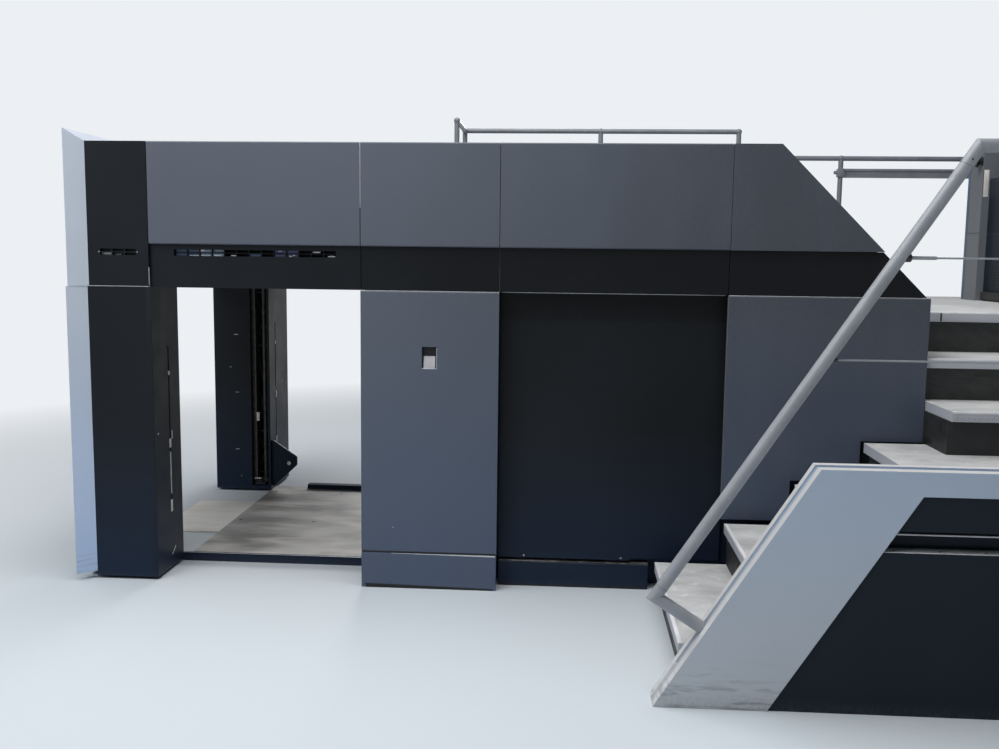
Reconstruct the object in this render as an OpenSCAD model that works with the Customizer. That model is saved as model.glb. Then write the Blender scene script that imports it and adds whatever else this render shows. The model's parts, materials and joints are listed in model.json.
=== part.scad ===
// Delivery end of a sheet-fed offset printing press: the portal over the pile, the long
// hood with its sloped end, the clad side of the extended delivery, the operator's stair
// and gallery, the cross platform and the first printing unit behind it.
// Machine frame: x runs along the press from the front of the pillars towards the units,
// y runs across it from the centre line, away from the operator, and z is up from the floor.

/* [Hood] */
// Half of the machine's width over its side panels
half_width = 1142; // [1100:1:1200]
// Height of the hood's flat top
hood_top = 2192; // [2160:1:2240]
// Height of the hood's lower edge, where the lower cladding begins
hood_bottom = 1486; // [1460:1:1500]
// Height where the grey upper panels end and the black band begins
band_top = 1698; // [1660:1:1740]
// Where the hood's flat top ends and its slope begins
slope_start = 3344; // [3300:1:3360]
// Where the slope meets the hood's lower edge
slope_end = 4048; // [4030:1:4052]
// Thickness of the grey upper side panels
side_panel_t = 32; // [28:1:40]
// Thickness of the black band's panels, which lie deeper
band_t = 12; // [8:1:20]
// Thickness of the covers on the hood's top and slope
cover_t = 20; // [15:1:25]
// Gap at a seam between two cladding panels
seam = 4; // [3:1:6]
// Clearance where one piece is fitted against another
fit = 0.3; // [0.2:0.1:0.5]

/* [Portal] */
// Length of a pillar along the machine
pillar_length = 312; // [300:1:330]
// Depth of a pillar across the machine
pillar_depth = 334; // [320:1:350]
// Gap between a pillar's cladding and the floor
pillar_gap = 14; // [10:1:20]
// How far the portal's trim flares out, up and to each side
flare_out = 56; // [50:1:65]
// How far the portal's trim stands in front of the pillars
flare_depth = 81; // [75:1:90]
// Height of the trim's lower end over the floor
flare_foot = 36; // [30:1:45]
// How much further the lower trim stands out than the upper one
flare_step = 8; // [4:1:12]
// Width of the guide channel in a pillar
channel_w = 116; // [100:1:125]
// Depth of the guide channel
channel_deep = 250; // [200:1:270]
// Diameter of the lift spindle in the guide channel
spindle_d = 24; // [20:1:32]
// How far the pillars' inner part and the head's front stand forward
cheek_out = 76; // [70:1:80]

/* [Side cladding] */
// Where the pile opening ends and the service cover begins
opening_end = 1356; // [1330:1:1380]
// Width of the service cover
cover_w = 676; // [650:1:690]
// Height of the kick panel's top edge
kick_top = 182; // [170:1:200]
// How far the black panel lies behind the service cover
recess = 102; // [95:1:115]
// Where the stepped grey panel begins
stepped_start = 3124; // [3118:1:3126]
// Where the side cladding ends beside the cross steps
cladding_end = 4058; // [4052:1:4060]
// Width of the grip pocket in the service cover
grip_w = 74; // [65:1:80]
// Height of the grip pocket
grip_h = 108; // [100:1:120]
// Height of the grip pocket's centre
grip_z = 1161; // [1140:1:1180]

/* [Stairs] */
// Height of one step
rise = 200; // [195:1:204]
// Depth of one step of the side stair, nosing to nosing
going = 323; // [320:1:328]
// Place of the lowest nosing
first_nosing = 2805; // [2800:1:2810]
// Thickness of a tread
tread_t = 45; // [40:1:50]
// How far a nosing stands over its riser
nosing = 16; // [12:1:24]
// Gap between the gallery's floor and the machine's side
tread_gap = 43; // [35:1:50]
// Gap between the side stair's treads and the machine's side
stair_gap = 85; // [75:1:95]
// Place of the lowest nosing of the cross steps, out from the centre line
cross_nosing = 1473; // [1460:1:1480]
// Depth of one cross step
cross_going = 360; // [350:1:365]
// How far a cross nosing stands over its riser
cross_overhang = 36; // [30:1:40]

/* [Gallery] */
// Distance of the gallery's outer face from the centre line
gallery_out = 2372; // [2340:1:2400]
// Thickness of the gallery's side frame
frame_t = 124; // [115:1:130]
// Height of the side frame's top ledge
ledge_z = 912; // [900:1:930]
// Height of the ledge's border
ledge_h = 90; // [80:1:100]
// Place of the side frame's foot
foot_x = 2702; // [2690:1:2710]
// Place of the side frame's upper corner
corner_x = 3275; // [3260:1:3290]
// Width of the sloped border at the floor
foot_w = 419; // [400:1:440]
// Width of the groove in the side frame's ledge
groove_w = 42; // [38:1:46]
// Outer diameter of the handrail
rail_d = 48; // [42:1:50]
// Height of the handrail's level part
rail_z = 2057; // [2030:1:2080]
// Diameter of the knee rods
rod_d = 7; // [6:1:12]

/* [Far side] */
// Distance of the far guard from the centre line
far_guard_y = 1768; // [1740:1:1800]
// Height of the far guard over the floor that it stands on
guard_h = 1015; // [1000:1:1060]
// Height of the raised walkway's guard over its floor
walkway_guard_h = 1006; // [990:1:1030]
// Outer diameter of the far guard's tubes
guard_d = 36; // [32:1:42]
// Place where the raised far walkway begins
walkway_start = 1542; // [1520:1:1560]
// Length of the raised far walkway
walkway_length = 2100; // [2080:1:2120]

/* [Printing unit] */
// Place of the unit's front face
unit_start = 5180; // [5160:1:5200]
// Length of the unit
unit_length = 1170; // [1100:1:1250]
// Height of the unit
unit_top = 2400; // [2350:1:2450]

/* [Hidden] */
$fn = 48;

slate = "#4a5563";
black = "#1d2126";
silver = "#a9b1bd";
navy = "#1b2633";
tread_grey = "#b4b6b8";
plate_brown = "#8b857c";
tube_grey = "#8d99a6";

// Hood
core_half = half_width - side_panel_t;
slope_run = (slope_end - slope_start) / (hood_top - hood_bottom);
// Length of a sloped cover's thickness, taken along the machine
cover_lean = cover_t * sqrt(1 + slope_run * slope_run);
band_end = slope_start + slope_run * (hood_top - band_top);
core_top = hood_top - cover_t;
column_end = pillar_length - 6;
service_end = opening_end + cover_w;
hood_seams = [column_end, opening_end, service_end, stepped_start];
slot_start = 425;
slot_length = 808;
slot_z = 1641;
slot_h = 32;
slot_deep = 60;
slot_pitch = 62;
louvre_start = 62;
louvre_length = 181;
louvre_columns = 3;
louvre_rows = 2;
louvre_web = 5;
edge_cut = 5;

// Portal
flare_wall = 57;
flare_lip = 10;
flare_heel = 12;
flare_inset = 6;
trim_split = hood_bottom + 2;
trim_gap = 3;
foot_inset = 37;
channel_end = pillar_length - 18;
channel_floor = 40;
channel_top = hood_bottom - 6;
slit_low = 330;
slit_high = 1180;
slit_deep = 18;
spindle_inset = 46;
guide_t = 24;
far_cover_w = 115;

// Side cladding
body_half = half_width - recess - 20;
recess_t = 20;
recess_bottom = 147;
recess_raised = 160;
recess_step = 2699;
plinth_top = 127;
plinth_end = 2789;
plinth_deep = 78;
sheet_t = 28;
clip_w = 46;
sill_w = 20;
sill_h = 45;
sill_overlap = 14;
stop_inset = 248;
stop_near = 42;
stop_w = 58;
plate_t = 12;
plate_beyond = 115;
thin_start = -65;
thin_near = -265;
thin_far = 467;
line_gap = 2;
frame_inset = 14;
stepped_edges = [for (k = [1:3]) first_nosing + k * going - 4];

// Stairs and gallery
deck_back = half_width + tread_gap;
tread_back = half_width + stair_gap;
frame_in = gallery_out - frame_t;
tread_front = frame_in;
riser_t = 10;
gallery_z = 4 * rise;
platform_z = gallery_z + 3 * rise;
cross_start = cladding_end + seam;
cross_end = unit_start - seam;
unit_end = unit_start + unit_length;
groove_side = 45;
rail_y = -(gallery_out - groove_side - groove_w / 2);
edge_run = (corner_x - foot_x) / ledge_z;
edge_len = sqrt(edge_run * edge_run + 1);
// Slope of the sloped tube, along over up
rail_lean = 0.647;
rail_foot_z = 287;
rail_off = 210;
rail_foot = [foot_x + edge_run * rail_foot_z, rail_foot_z];
rail_turn = [-1, rail_lean] / norm([1, rail_lean]);
rail_elbow = rail_foot + rail_turn * rail_off;
rail_bend = [rail_elbow[0] + rail_lean * (rail_z - rail_elbow[1]), rail_z];
rail_end = unit_end - 40;
post_pitch = 1200;
post_places = [rail_end, rail_end - post_pitch];
rod_levels = [1300, 1667];
groove_deep = 8;
groove_foot = 140;

// Far side
walkway_z = platform_z + rise;
walkway_end = walkway_start + walkway_length;
far_edge = far_guard_y + 22;
deck_t = 45;
leg_d = 68;
fitting = 8;
board_z = 940;
board_h = 66;
board_t = 12;
end_inset = 22;
far_inset = 30;
return_y = half_width + 60;
board_reach = 316;
board_post = cross_start + board_reach;
leg_inset = 60;
unit_leg_inset = 120;
cabinet_inner = half_width - 92;
cabinet_outer = half_width + 162;
cabinet_front = 52;
cabinet_joint = 1853;
unit_side = half_width - 30;
unit_slope = 180;

// The origin is on the floor, under the middle of the model's footprint
x_min = -(flare_depth + flare_step);
x_mid = (x_min + unit_end) / 2;
y_mid = (far_edge - gallery_out) / 2;

module placed() {
    translate([-x_mid, -y_mid, 0]) children();
}

// A box between two corners
module block(low, high) {
    translate(low) cube(high - low);
}

// A plate with an outline in the x-z plane, from y_low to y_high
module side_plate(outline, y_low, y_high) {
    translate([0, y_high, 0]) rotate([90, 0, 0]) linear_extrude(y_high - y_low) polygon(outline);
}

// A bar with an outline in the y-z plane, from x_low to x_high
module cross_plate(outline, x_low, x_high) {
    translate([x_low, 0, 0]) rotate([90, 0, 90]) linear_extrude(x_high - x_low) polygon(outline);
}

// A round bar between two points of the x-z plane at y
module bar_xz(from, to, y, d) {
    run = to - from;
    translate([from[0], y, from[1]]) rotate([0, atan2(run[0], run[1]), 0])
        cylinder(h = norm(run), d = d);
}

// Where the hood's slope lies at height z
function slope_x(z) = slope_start + slope_run * (hood_top - z);

// Portal trim: a picture frame whose face flares out at the sides and at the top
module trim_leg(reach) {
    side = half_width + flare_out;
    linear_extrude(hood_top + flare_out + 1) polygon([
        [-reach, -half_width],
        [-flare_depth - reach, -side - reach / 2],
        [-flare_depth - reach, -side + flare_lip],
        [-flare_depth + flare_heel, -half_width + flare_inset],
        [-reach, -half_width + flare_wall]
    ]);
}

module trim_beam() {
    side_plate([
        [0, hood_top],
        [-flare_depth, hood_top + flare_out],
        [-flare_depth, hood_top + flare_out - flare_lip],
        [-flare_depth + flare_heel, hood_top - flare_inset],
        [0, hood_top - flare_wall]
    ], -half_width - flare_out, half_width + flare_out);
}

// The mitre runs at 45 degrees through the frame's upper corners
module mitre_side() {
    reach = 2 * flare_out;
    top = hood_top + reach;
    cross_plate([
        [-half_width - reach, trim_split + trim_gap],
        [0, trim_split + trim_gap],
        [0, hood_top - half_width],
        [-half_width - reach, top]
    ], -2 * flare_depth, 1);
}

module mitre_top() {
    reach = 2 * flare_out;
    cross_plate([
        [-half_width - reach, hood_top + reach],
        [half_width + reach, hood_top + reach],
        [0, hood_top - half_width]
    ], -2 * flare_depth, 1);
}

module front_trim_upper() {
    color(silver) placed() union() {
        intersection() {
            trim_beam();
            mitre_top();
        }
        for (side = [0, 1]) mirror([0, side, 0]) intersection() {
            trim_leg(0);
            mitre_side();
        }
    }
}

module lower_trim() {
    intersection() {
        trim_leg(flare_step);
        block([-2 * flare_depth, -2 * half_width, flare_foot], [0, 0, trim_split]);
    }
}

module front_trim_near() {
    color(silver) placed() lower_trim();
}

module front_trim_far() {
    color(silver) placed() mirror([0, 1, 0]) lower_trim();
}

// A pillar stands on a smaller foot. Its inner part reaches forward behind the trim, and the
// lift's guide channel is cut into its inner side
module pillar() {
    inner = -half_width + pillar_depth;
    cheek = -half_width + flare_wall + fit;
    slit_back = 134;
    slit_w = 16;
    difference() {
        union() {
            translate([0, 0, pillar_gap]) linear_extrude(hood_bottom - pillar_gap) polygon([
                [pillar_length, -half_width],
                [-flare_step, -half_width],
                [-flare_step, cheek],
                [-cheek_out + flare_heel, cheek],
                [-cheek_out, cheek + flare_heel],
                [-cheek_out, inner],
                [pillar_length, inner]
            ]);
            block([foot_inset, -half_width + foot_inset, 0],
                [pillar_length - foot_inset, inner - foot_inset, pillar_gap]);
        }
        block([channel_end - channel_w, inner - channel_deep, channel_floor],
            [channel_end, inner + 1, channel_top]);
        // Slit for the limit switches, in the face towards the pile
        block([pillar_length - slit_deep, inner - slit_back - slit_w, slit_low],
            [pillar_length + 1, inner - slit_back, slit_high]);
    }
}

module near_pillar() {
    color(black) placed() pillar();
}

// The far pillar has one more cover on its outer side
module far_pillar() {
    color(black) placed() {
        mirror([0, 1, 0]) pillar();
        block([foot_inset, half_width + fit, pillar_gap], [pillar_length, half_width + far_cover_w, hood_bottom]);
        block([2 * foot_inset, half_width + foot_inset, 0],
            [pillar_length - foot_inset, half_width + far_cover_w - foot_inset, pillar_gap]);
    }
}

// One spindle and one guide strip stand in each channel, from its floor to its top
module lift_spindle() {
    x = channel_end - spindle_inset;
    y = -half_width + pillar_depth - spindle_inset * 2;
    height = channel_top - channel_floor;
    bearing_h = 40;
    translate([x, y, channel_floor]) {
        cylinder(h = height, d = spindle_d);
        cylinder(h = bearing_h, d = 3 * spindle_d);
        translate([0, 0, height - bearing_h]) cylinder(h = bearing_h, d = 2.4 * spindle_d);
    }
    // Guide strip along the channel's front wall
    wall = channel_end - channel_w;
    block([wall, y - spindle_inset, channel_floor], [wall + guide_t, y + spindle_inset, channel_top]);
}

module lift_spindles() {
    color("#6d6a66") placed() {
        lift_spindle();
        mirror([0, 1, 0]) lift_spindle();
    }
}

// Triangular bracket on the far pillar, with its bolt
module guard_bracket() {
    y = half_width - pillar_depth + 20;
    x = pillar_length;
    bracket_t = 14;
    root = 18;
    tip = 180;
    low = 36;
    high = 358;
    tip_low = 187;
    tip_high = 247;
    bolt_in = 54;
    bolt_z = 201;
    bolt_d = 30;
    bolt_h = 9;
    color(black) placed() {
        side_plate([
            [x, low],
            [x + root, low],
            [x + tip, tip_low],
            [x + tip, tip_high],
            [x + root, high],
            [x, high]
        ], y, y + bracket_t);
        translate([x + tip - bolt_in, y, bolt_z]) rotate([90, 0, 0]) cylinder(h = bolt_h, d = bolt_d);
    }
}

// Upper corner beside the portal, with a vent louvre
module near_corner_column() {
    cell = (louvre_length - (louvre_columns - 1) * louvre_web) / louvre_columns;
    cell_h = (slot_h - (louvre_rows - 1) * louvre_web) / louvre_rows;
    louvre_back = 8;
    color(black) placed() difference() {
        block([0, -half_width, trim_split + trim_gap], [column_end - seam / 2, -core_half, hood_top]);
        for (i = [0:louvre_columns - 1], j = [0:louvre_rows - 1])
            translate([louvre_start + i * (cell + louvre_web), -half_width, slot_z + j * (cell_h + louvre_web)])
                block([0, -1, 0], [cell, side_panel_t - louvre_back, cell_h]);
    }
}

// Front of the head, inside the picture frame of the trim
module front_header() {
    side = half_width - flare_wall - fit;
    low = trim_split + trim_gap;
    high = hood_top - flare_wall - fit;
    color(slate) placed() difference() {
        union() {
            block([-cheek_out + flare_heel, -side, low], [0, side, high]);
            block([-cheek_out, -side + flare_heel, low], [-cheek_out + flare_heel, side - flare_heel, high - flare_heel]);
        }
        // Seam between the two front covers
        block([-cheek_out - 1, -seam / 2, low - 1], [-cheek_out + 2 * seam, seam / 2, high + 1]);
    }
}

// Closed housing of the hood: the chains and dryers run inside it
module hood_housing() {
    color(black) placed() difference() {
        side_plate([
            [0, hood_bottom],
            [slope_x(hood_bottom) - cover_lean, hood_bottom],
            [slope_x(core_top) - cover_lean, core_top],
            [0, core_top]
        ], -core_half, core_half);
        block([slot_start, -core_half - 1, slot_z], [slot_start + slot_length, -core_half + slot_deep, slot_z + slot_h]);
    }
}

// Grey upper side panel between two seams
module hood_panel(from, to) {
    color(slate) placed() cross_plate([
        [-core_half, band_top],
        [-half_width + edge_cut, band_top],
        [-half_width, band_top + edge_cut],
        [-half_width, hood_top - edge_cut],
        [-half_width + edge_cut, hood_top],
        [-core_half, hood_top]
    ], from + seam / 2, to - seam / 2);
}

module near_hood_panel_1() {
    hood_panel(hood_seams[0], hood_seams[1]);
}

module near_hood_panel_2() {
    hood_panel(hood_seams[1], hood_seams[2]);
}

module near_hood_panel_3() {
    hood_panel(hood_seams[2], hood_seams[3]);
}

// The last panel follows the slope
module slope_outline() {
    start = hood_seams[3] + seam / 2;
    side_plate([
        [start, band_top],
        [band_end, band_top],
        [slope_start, hood_top],
        [start, hood_top]
    ], -half_width, -core_half);
}

module near_slope_panel() {
    color(slate) placed() slope_outline();
}

module far_hood_panels() {
    color(slate) placed() mirror([0, 1, 0]) {
        block([0, -half_width, trim_split + trim_gap], [column_end - seam / 2, -core_half, hood_top]);
        for (k = [0:2])
            block([hood_seams[k] + seam / 2, -half_width, band_top],
                [hood_seams[k + 1] - seam / 2, -core_half, hood_top]);
        slope_outline();
    }
}

// Black band under the grey panels, in lengths that follow the seams
module band_length(k, slotted) {
    low = hood_bottom;
    high = band_top - 1;
    start = hood_seams[k] + (k == 0 ? 0 : seam / 2);
    difference() {
        if (k < 3)
            block([start, -core_half - band_t, low], [hood_seams[k + 1] - seam / 2, -core_half, high]);
        else
            side_plate([
                [start, low],
                [slope_x(low) - 2, low],
                [slope_x(high) - 2, high],
                [start, high]
            ], -core_half - band_t, -core_half);
        if (slotted && k == 0)
            block([slot_start, -half_width, slot_z], [slot_start + slot_length, -core_half + 1, slot_z + slot_h]);
    }
}

module near_band() {
    color(black) placed() for (k = [0:3]) band_length(k, true);
}

module far_band() {
    color(black) placed() mirror([0, 1, 0]) for (k = [0:3]) band_length(k, false);
}

// Grille in the fan slot: a back plate with upright dividers
module slot_grille() {
    count = floor(slot_length / slot_pitch);
    front = -core_half + 4;
    back = -core_half + slot_deep;
    web = 4;
    middle = slot_z + slot_h / 2;
    color("#7f8b99") placed() union() {
        block([slot_start, back - web, slot_z], [slot_start + slot_length, back, slot_z + slot_h]);
        for (k = [1:count - 1])
            translate([slot_start + k * slot_pitch, 0, slot_z])
                block([-web / 2, front, 0], [web / 2, back - 1, slot_h]);
        block([slot_start, front, middle - web / 2], [slot_start + slot_length, back - 1, middle + web / 2]);
    }
}

// Covers on the flat top, parted at the side panels' seams
module top_covers() {
    last = slope_start - cover_lean - seam / 2;
    ends = [0, hood_seams[1], hood_seams[2], hood_seams[3], last];
    color(slate) placed() for (k = [0:3])
        block([ends[k] + (k == 0 ? 0 : seam / 2), -core_half + 2, core_top],
            [ends[k + 1] - seam / 2, core_half - 2, hood_top]);
}

// Covers on the slope, parted where the band begins
module slope_covers() {
    spans = [[hood_top, band_top + seam / 2], [band_top - seam / 2, hood_bottom]];
    color(slate) placed() for (span = spans)
        side_plate([
            [slope_x(span[0]) - cover_lean, span[0]],
            [slope_x(span[1]) - cover_lean, span[1]],
            [slope_x(span[1]), span[1]],
            [slope_x(span[0]), span[0]]
        ], -core_half + 2, core_half - 2);
}

// Closed body of the extended delivery, on its base
module delivery_body() {
    foot = 78;
    behind = -half_width + sheet_t;
    top = hood_bottom - line_gap;
    color(black) placed() union() {
        block([opening_end, -body_half, recess_bottom], [cladding_end, body_half, hood_bottom]);
        block([opening_end + foot_inset, -body_half + foot, 0], [cladding_end, body_half - foot, recess_bottom]);
        // Frame that carries the stepped panel, inside the panel's edges
        for (k = [0:2])
            block([max(stepped_start, stepped_edges[k]) + frame_inset, behind, (k + 2) * rise + frame_inset],
                [cladding_end, -body_half, top - frame_inset]);
    }
}

module service_frame() {
    color(black) placed()
        block([opening_end + seam, -half_width + sheet_t, pillar_gap],
            [service_end - seam, -body_half, hood_bottom - frame_inset]);
}

// Lift-off cover with a grip pocket and its pull plate
module service_cover() {
    mid = (opening_end + service_end) / 2;
    low = kick_top + seam - 1;
    high = hood_bottom - line_gap;
    pocket_back = 25;
    pull_t = 3;
    pull_inset = 8;
    color(slate) placed() union() {
        difference() {
            cross_plate([
                [-half_width + sheet_t, low],
                [-half_width, low],
                [-half_width, high - edge_cut],
                [-half_width + edge_cut, high],
                [-half_width + sheet_t, high]
            ], opening_end, service_end);
            block([mid - grip_w / 2, -half_width - 1, grip_z - grip_h / 2],
                [mid + grip_w / 2, -half_width + pocket_back, grip_z + grip_h / 2]);
        }
        // Pull plate, leaning back in the lower half of the pocket
        translate([mid, -half_width + pull_t, grip_z - grip_h / 2]) rotate([-14, 0, 0])
            block([-grip_w / 2 + pull_inset, 0, 0], [grip_w / 2 - pull_inset, pull_t, grip_h * 0.58]);
    }
}

module kick_panel() {
    color(slate) placed() cross_plate([
        [-half_width + sheet_t, 0],
        [-half_width, 0],
        [-half_width, kick_top - edge_cut],
        [-half_width + edge_cut, kick_top],
        [-half_width + sheet_t, kick_top]
    ], opening_end, service_end - seam / 2);
}

// Black panel between the service cover and the stair, with its lower clips
module recess_panel() {
    front = -body_half - recess_t;
    clip_h = 14;
    clip_t = 5;
    clips = [service_end + 90, recess_step - 60, recess_step - 120];
    color(black) placed() union() {
        side_plate([
            [service_end + seam / 2, recess_bottom],
            [recess_step, recess_bottom],
            [recess_step, recess_raised],
            [stepped_start + frame_inset, recess_raised],
            [stepped_start + frame_inset, hood_bottom - line_gap],
            [service_end + seam / 2, hood_bottom - line_gap]
        ], front, -body_half);
        for (x = clips) translate([x, front, recess_bottom]) block([0, -clip_t, 0], [clip_w, 0, clip_h]);
    }
}

module base_plinth() {
    front = -body_half - recess_t;
    color(black) placed() cross_plate([
        [front + plinth_deep + recess_t, 0],
        [front, 0],
        [front, plinth_top - edge_cut],
        [front + edge_cut, plinth_top],
        [front + plinth_deep + recess_t, plinth_top]
    ], service_end + seam, plinth_end);
}

// Grey panel whose lower edge steps up over the stair
module stepped_panel() {
    edge = [for (k = [0:2]) (k + 2) * rise];
    high = hood_bottom - line_gap;
    color(slate) placed() union() {
        side_plate([
            [stepped_start, edge[0]],
            [stepped_edges[1], edge[0]],
            [stepped_edges[1], edge[1]],
            [stepped_edges[2], edge[1]],
            [stepped_edges[2], edge[2]],
            [cladding_end, edge[2]],
            [cladding_end, high - edge_cut],
            [stepped_start, high - edge_cut]
        ], -half_width, -half_width + sheet_t);
        cross_plate([
            [-half_width + edge_cut, high],
            [-half_width, high - edge_cut],
            [-half_width + sheet_t, high - edge_cut],
            [-half_width + sheet_t, high]
        ], stepped_start, cladding_end);
    }
}

// The far side repeats the near one with plain panels down to the base
module far_side_panels() {
    front = half_width;
    color(slate) placed() {
        block([opening_end, body_half, 12], [service_end, front, hood_bottom - line_gap]);
        block([service_end + seam, body_half, 12], [stepped_start - seam, front - recess + 20, hood_bottom - line_gap]);
        block([stepped_start, body_half, 12], [cladding_end, front, hood_bottom - line_gap]);
    }
}

// Floor plates of the pile well
module pile_floor_plates() {
    inner = half_width - pillar_depth;
    start = pillar_length + seam - 1;
    thin_t = 9;
    near_edge = inner - sill_w - fit;
    color(plate_brown) placed() {
        block([start, -near_edge, 0], [opening_end - 2 * seam, inner + plate_beyond, plate_t]);
        block([thin_start, thin_near, 0], [start - fit, thin_far, thin_t]);
    }
}

// Stop bar for the pallet, on the floor plate, and the sill at the near edge
module pallet_stop() {
    inner = half_width - pillar_depth;
    start = pillar_length + stop_inset;
    color(black) placed() {
        block([start, inner + stop_near, plate_t], [opening_end - 5 * seam, inner + stop_near + stop_w, sill_h]);
        // Sill along the floor plate's near edge
        block([pillar_length - sill_overlap, -inner + fit, 0], [opening_end - 2 * seam, -inner + sill_w, sill_h]);
    }
}

// Side stair: three treads up to the gallery
module lower_treads() {
    color(tread_grey) placed() for (k = [0:2])
        block([first_nosing + k * going, -tread_front, (k + 1) * rise - tread_t],
            [first_nosing + (k + 1) * going + nosing + riser_t, -tread_back, (k + 1) * rise]);
}

// Each riser stands behind its nosing, on the tread below
module lower_risers() {
    color(black) placed() for (k = [0:3]) {
        set_back = k == 0 ? 2 * nosing : nosing;
        block([first_nosing + k * going + set_back, -tread_front, k * rise],
            [first_nosing + k * going + set_back + riser_t, -tread_back, (k + 1) * rise - tread_t]);
    }
}

// Gallery along the units; beside the cross steps it is narrower
module gallery_deck() {
    start = first_nosing + 3 * going;
    riser_front = cross_nosing - cross_overhang;
    color(tread_grey) placed() translate([0, 0, gallery_z - tread_t]) linear_extrude(tread_t) polygon([
        [start, -tread_front],
        [unit_end, -tread_front],
        [unit_end, -deck_back],
        [unit_start, -deck_back],
        [unit_start, -riser_front],
        [cross_start, -riser_front],
        [cross_start, -deck_back],
        [start, -deck_back]
    ]);
}

// Treads of the cross steps
module cross_treads() {
    color(tread_grey) placed() for (k = [0:1])
        block([cross_start, -cross_nosing + k * cross_going, gallery_z + (k + 1) * rise - tread_t],
            [cross_end, -cross_nosing + (k + 1) * cross_going + cross_overhang, gallery_z + (k + 1) * rise]);
}

// Closed base between delivery and unit: its front rises in steps under the treads
module cross_base() {
    riser = [for (k = [0:2]) -cross_nosing + k * cross_going + cross_overhang];
    level = [for (k = [0:2]) gallery_z + (k + 1) * rise];
    color(black) placed() cross_plate([
        [riser[0], 0],
        [half_width, 0],
        [half_width, level[2] - tread_t],
        [riser[2], level[2] - tread_t],
        [riser[2], level[1] - tread_t],
        [riser[1], level[1] - tread_t],
        [riser[1], level[0] - tread_t],
        [riser[0], level[0] - tread_t]
    ], cladding_end, unit_start);
}

// Platform across the machine, up to the far guard
module cross_platform() {
    front = -cross_nosing + 2 * cross_going;
    color(tread_grey) placed()
        block([cross_start, front, platform_z - deck_t], [cross_end, far_edge, platform_z]);
}

// Silver side frame of stair and gallery: a sloped border and a level ledge, with a groove
module gallery_side_frame() {
    low = ledge_z - ledge_h;
    cut = groove_deep * edge_len;
    color(silver) placed() difference() {
        side_plate([
            [foot_x, 0],
            [foot_x + foot_w, 0],
            [foot_x + foot_w + edge_run * low, low],
            [unit_end, low],
            [unit_end, ledge_z],
            [corner_x, ledge_z]
        ], -gallery_out, -frame_in);
        // Groove in the ledge
        block([corner_x, rail_y - groove_w / 2, ledge_z - groove_deep],
            [unit_end + 1, rail_y + groove_w / 2, ledge_z + 1]);
        // Groove in the sloped face, from a hand's width over the floor
        side_plate([
            [foot_x + edge_run * groove_foot - 1, groove_foot],
            [foot_x + edge_run * groove_foot + cut, groove_foot],
            [corner_x + cut, ledge_z],
            [corner_x + cut, ledge_z + 1],
            [corner_x - 1, ledge_z + 1]
        ], rail_y - groove_w / 2, rail_y + groove_w / 2);
    }
}

// Navy cladding inside the frame: fascia, set-back slat and lower panel
module gallery_cladding() {
    low = ledge_z - ledge_h;
    inside = foot_x + foot_w;
    sheet = 16;
    deep = 62;
    front = 6;
    // Panels are [bottom, top, how far behind the frame's face, thickness]
    panels = [
        [0, 613, front, deep + sheet],
        [629, 666, front + deep, sheet],
        [693, low, front, 40],
        [0, low, front + deep + sheet, front]
    ];
    color(navy) placed() for (p = panels)
        side_plate([
            [inside + edge_run * p[0], p[0]],
            [unit_end, p[0]],
            [unit_end, p[1]],
            [inside + edge_run * p[1], p[1]]
        ], -gallery_out + p[2], -gallery_out + p[2] + p[3]);
}

// Handrail: a return from the frame's edge, the sloped tube, the level tube and posts
module rail_posts(d) {
    for (x = post_places) bar_xz([x, ledge_z], [x, rail_z], rail_y, d);
}

// What lies beyond a joint's mitre, on the side that points along turn. The tubes meet
// there with a fine gap
module past_mitre(joint, turn) {
    translate([joint[0], rail_y, joint[1]]) rotate([0, atan2(turn[0], turn[1]), 0])
        block([-2 * rail_d, -rail_d, -fit / 2], [2 * rail_d, rail_d, 2 * rail_d]);
}

module handrail() {
    climb = (rail_bend - rail_elbow) / norm(rail_bend - rail_elbow);
    level = [1, 0];
    color(tube_grey) placed() union() {
        // The return tube ends on the frame's sloped edge
        difference() {
            bar_xz(rail_foot - rail_turn * rail_d / 2, rail_elbow + rail_turn * rail_d, rail_y, rail_d);
            past_mitre(rail_elbow, rail_turn + climb);
            side_plate([
                [foot_x, 0],
                [foot_x + foot_w, 0],
                [corner_x, ledge_z]
            ], -gallery_out, -frame_in);
        }
        difference() {
            bar_xz(rail_elbow - climb * rail_d, rail_bend + climb * rail_d, rail_y, rail_d);
            past_mitre(rail_elbow, -rail_turn - climb);
            past_mitre(rail_bend, climb + level);
        }
        difference() {
            bar_xz(rail_bend - level * rail_d, [rail_end, rail_z], rail_y, rail_d);
            past_mitre(rail_bend, -climb - level);
        }
        translate([rail_end, rail_y, rail_z]) sphere(d = rail_d);
        rail_posts(rail_d);
    }
}

// Knee rods between the sloped tube and the end post
module knee_rods() {
    color(tube_grey) placed() difference() {
        for (z = rod_levels)
            bar_xz([rail_elbow[0] + rail_lean * (z - rail_elbow[1]), z], [rail_end, z], rail_y, rod_d);
        bar_xz(rail_elbow, rail_bend, rail_y, rail_d + 2 * fit);
        rail_posts(rail_d + 2 * fit);
    }
}

// Raised walkway along the far side, on posts, and the far gallery beside the unit
module walkway_leg(x, top) {
    base_w = 2.4 * leg_d;
    base_t = 12;
    y = far_guard_y - 1.2 * leg_d;
    translate([x, y, 0]) cylinder(h = top - deck_t / 2, d = leg_d);
    translate([x, y, 0]) block([-base_w / 2, -base_w / 2, 0], [base_w / 2, base_w / 2, base_t]);
}

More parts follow.
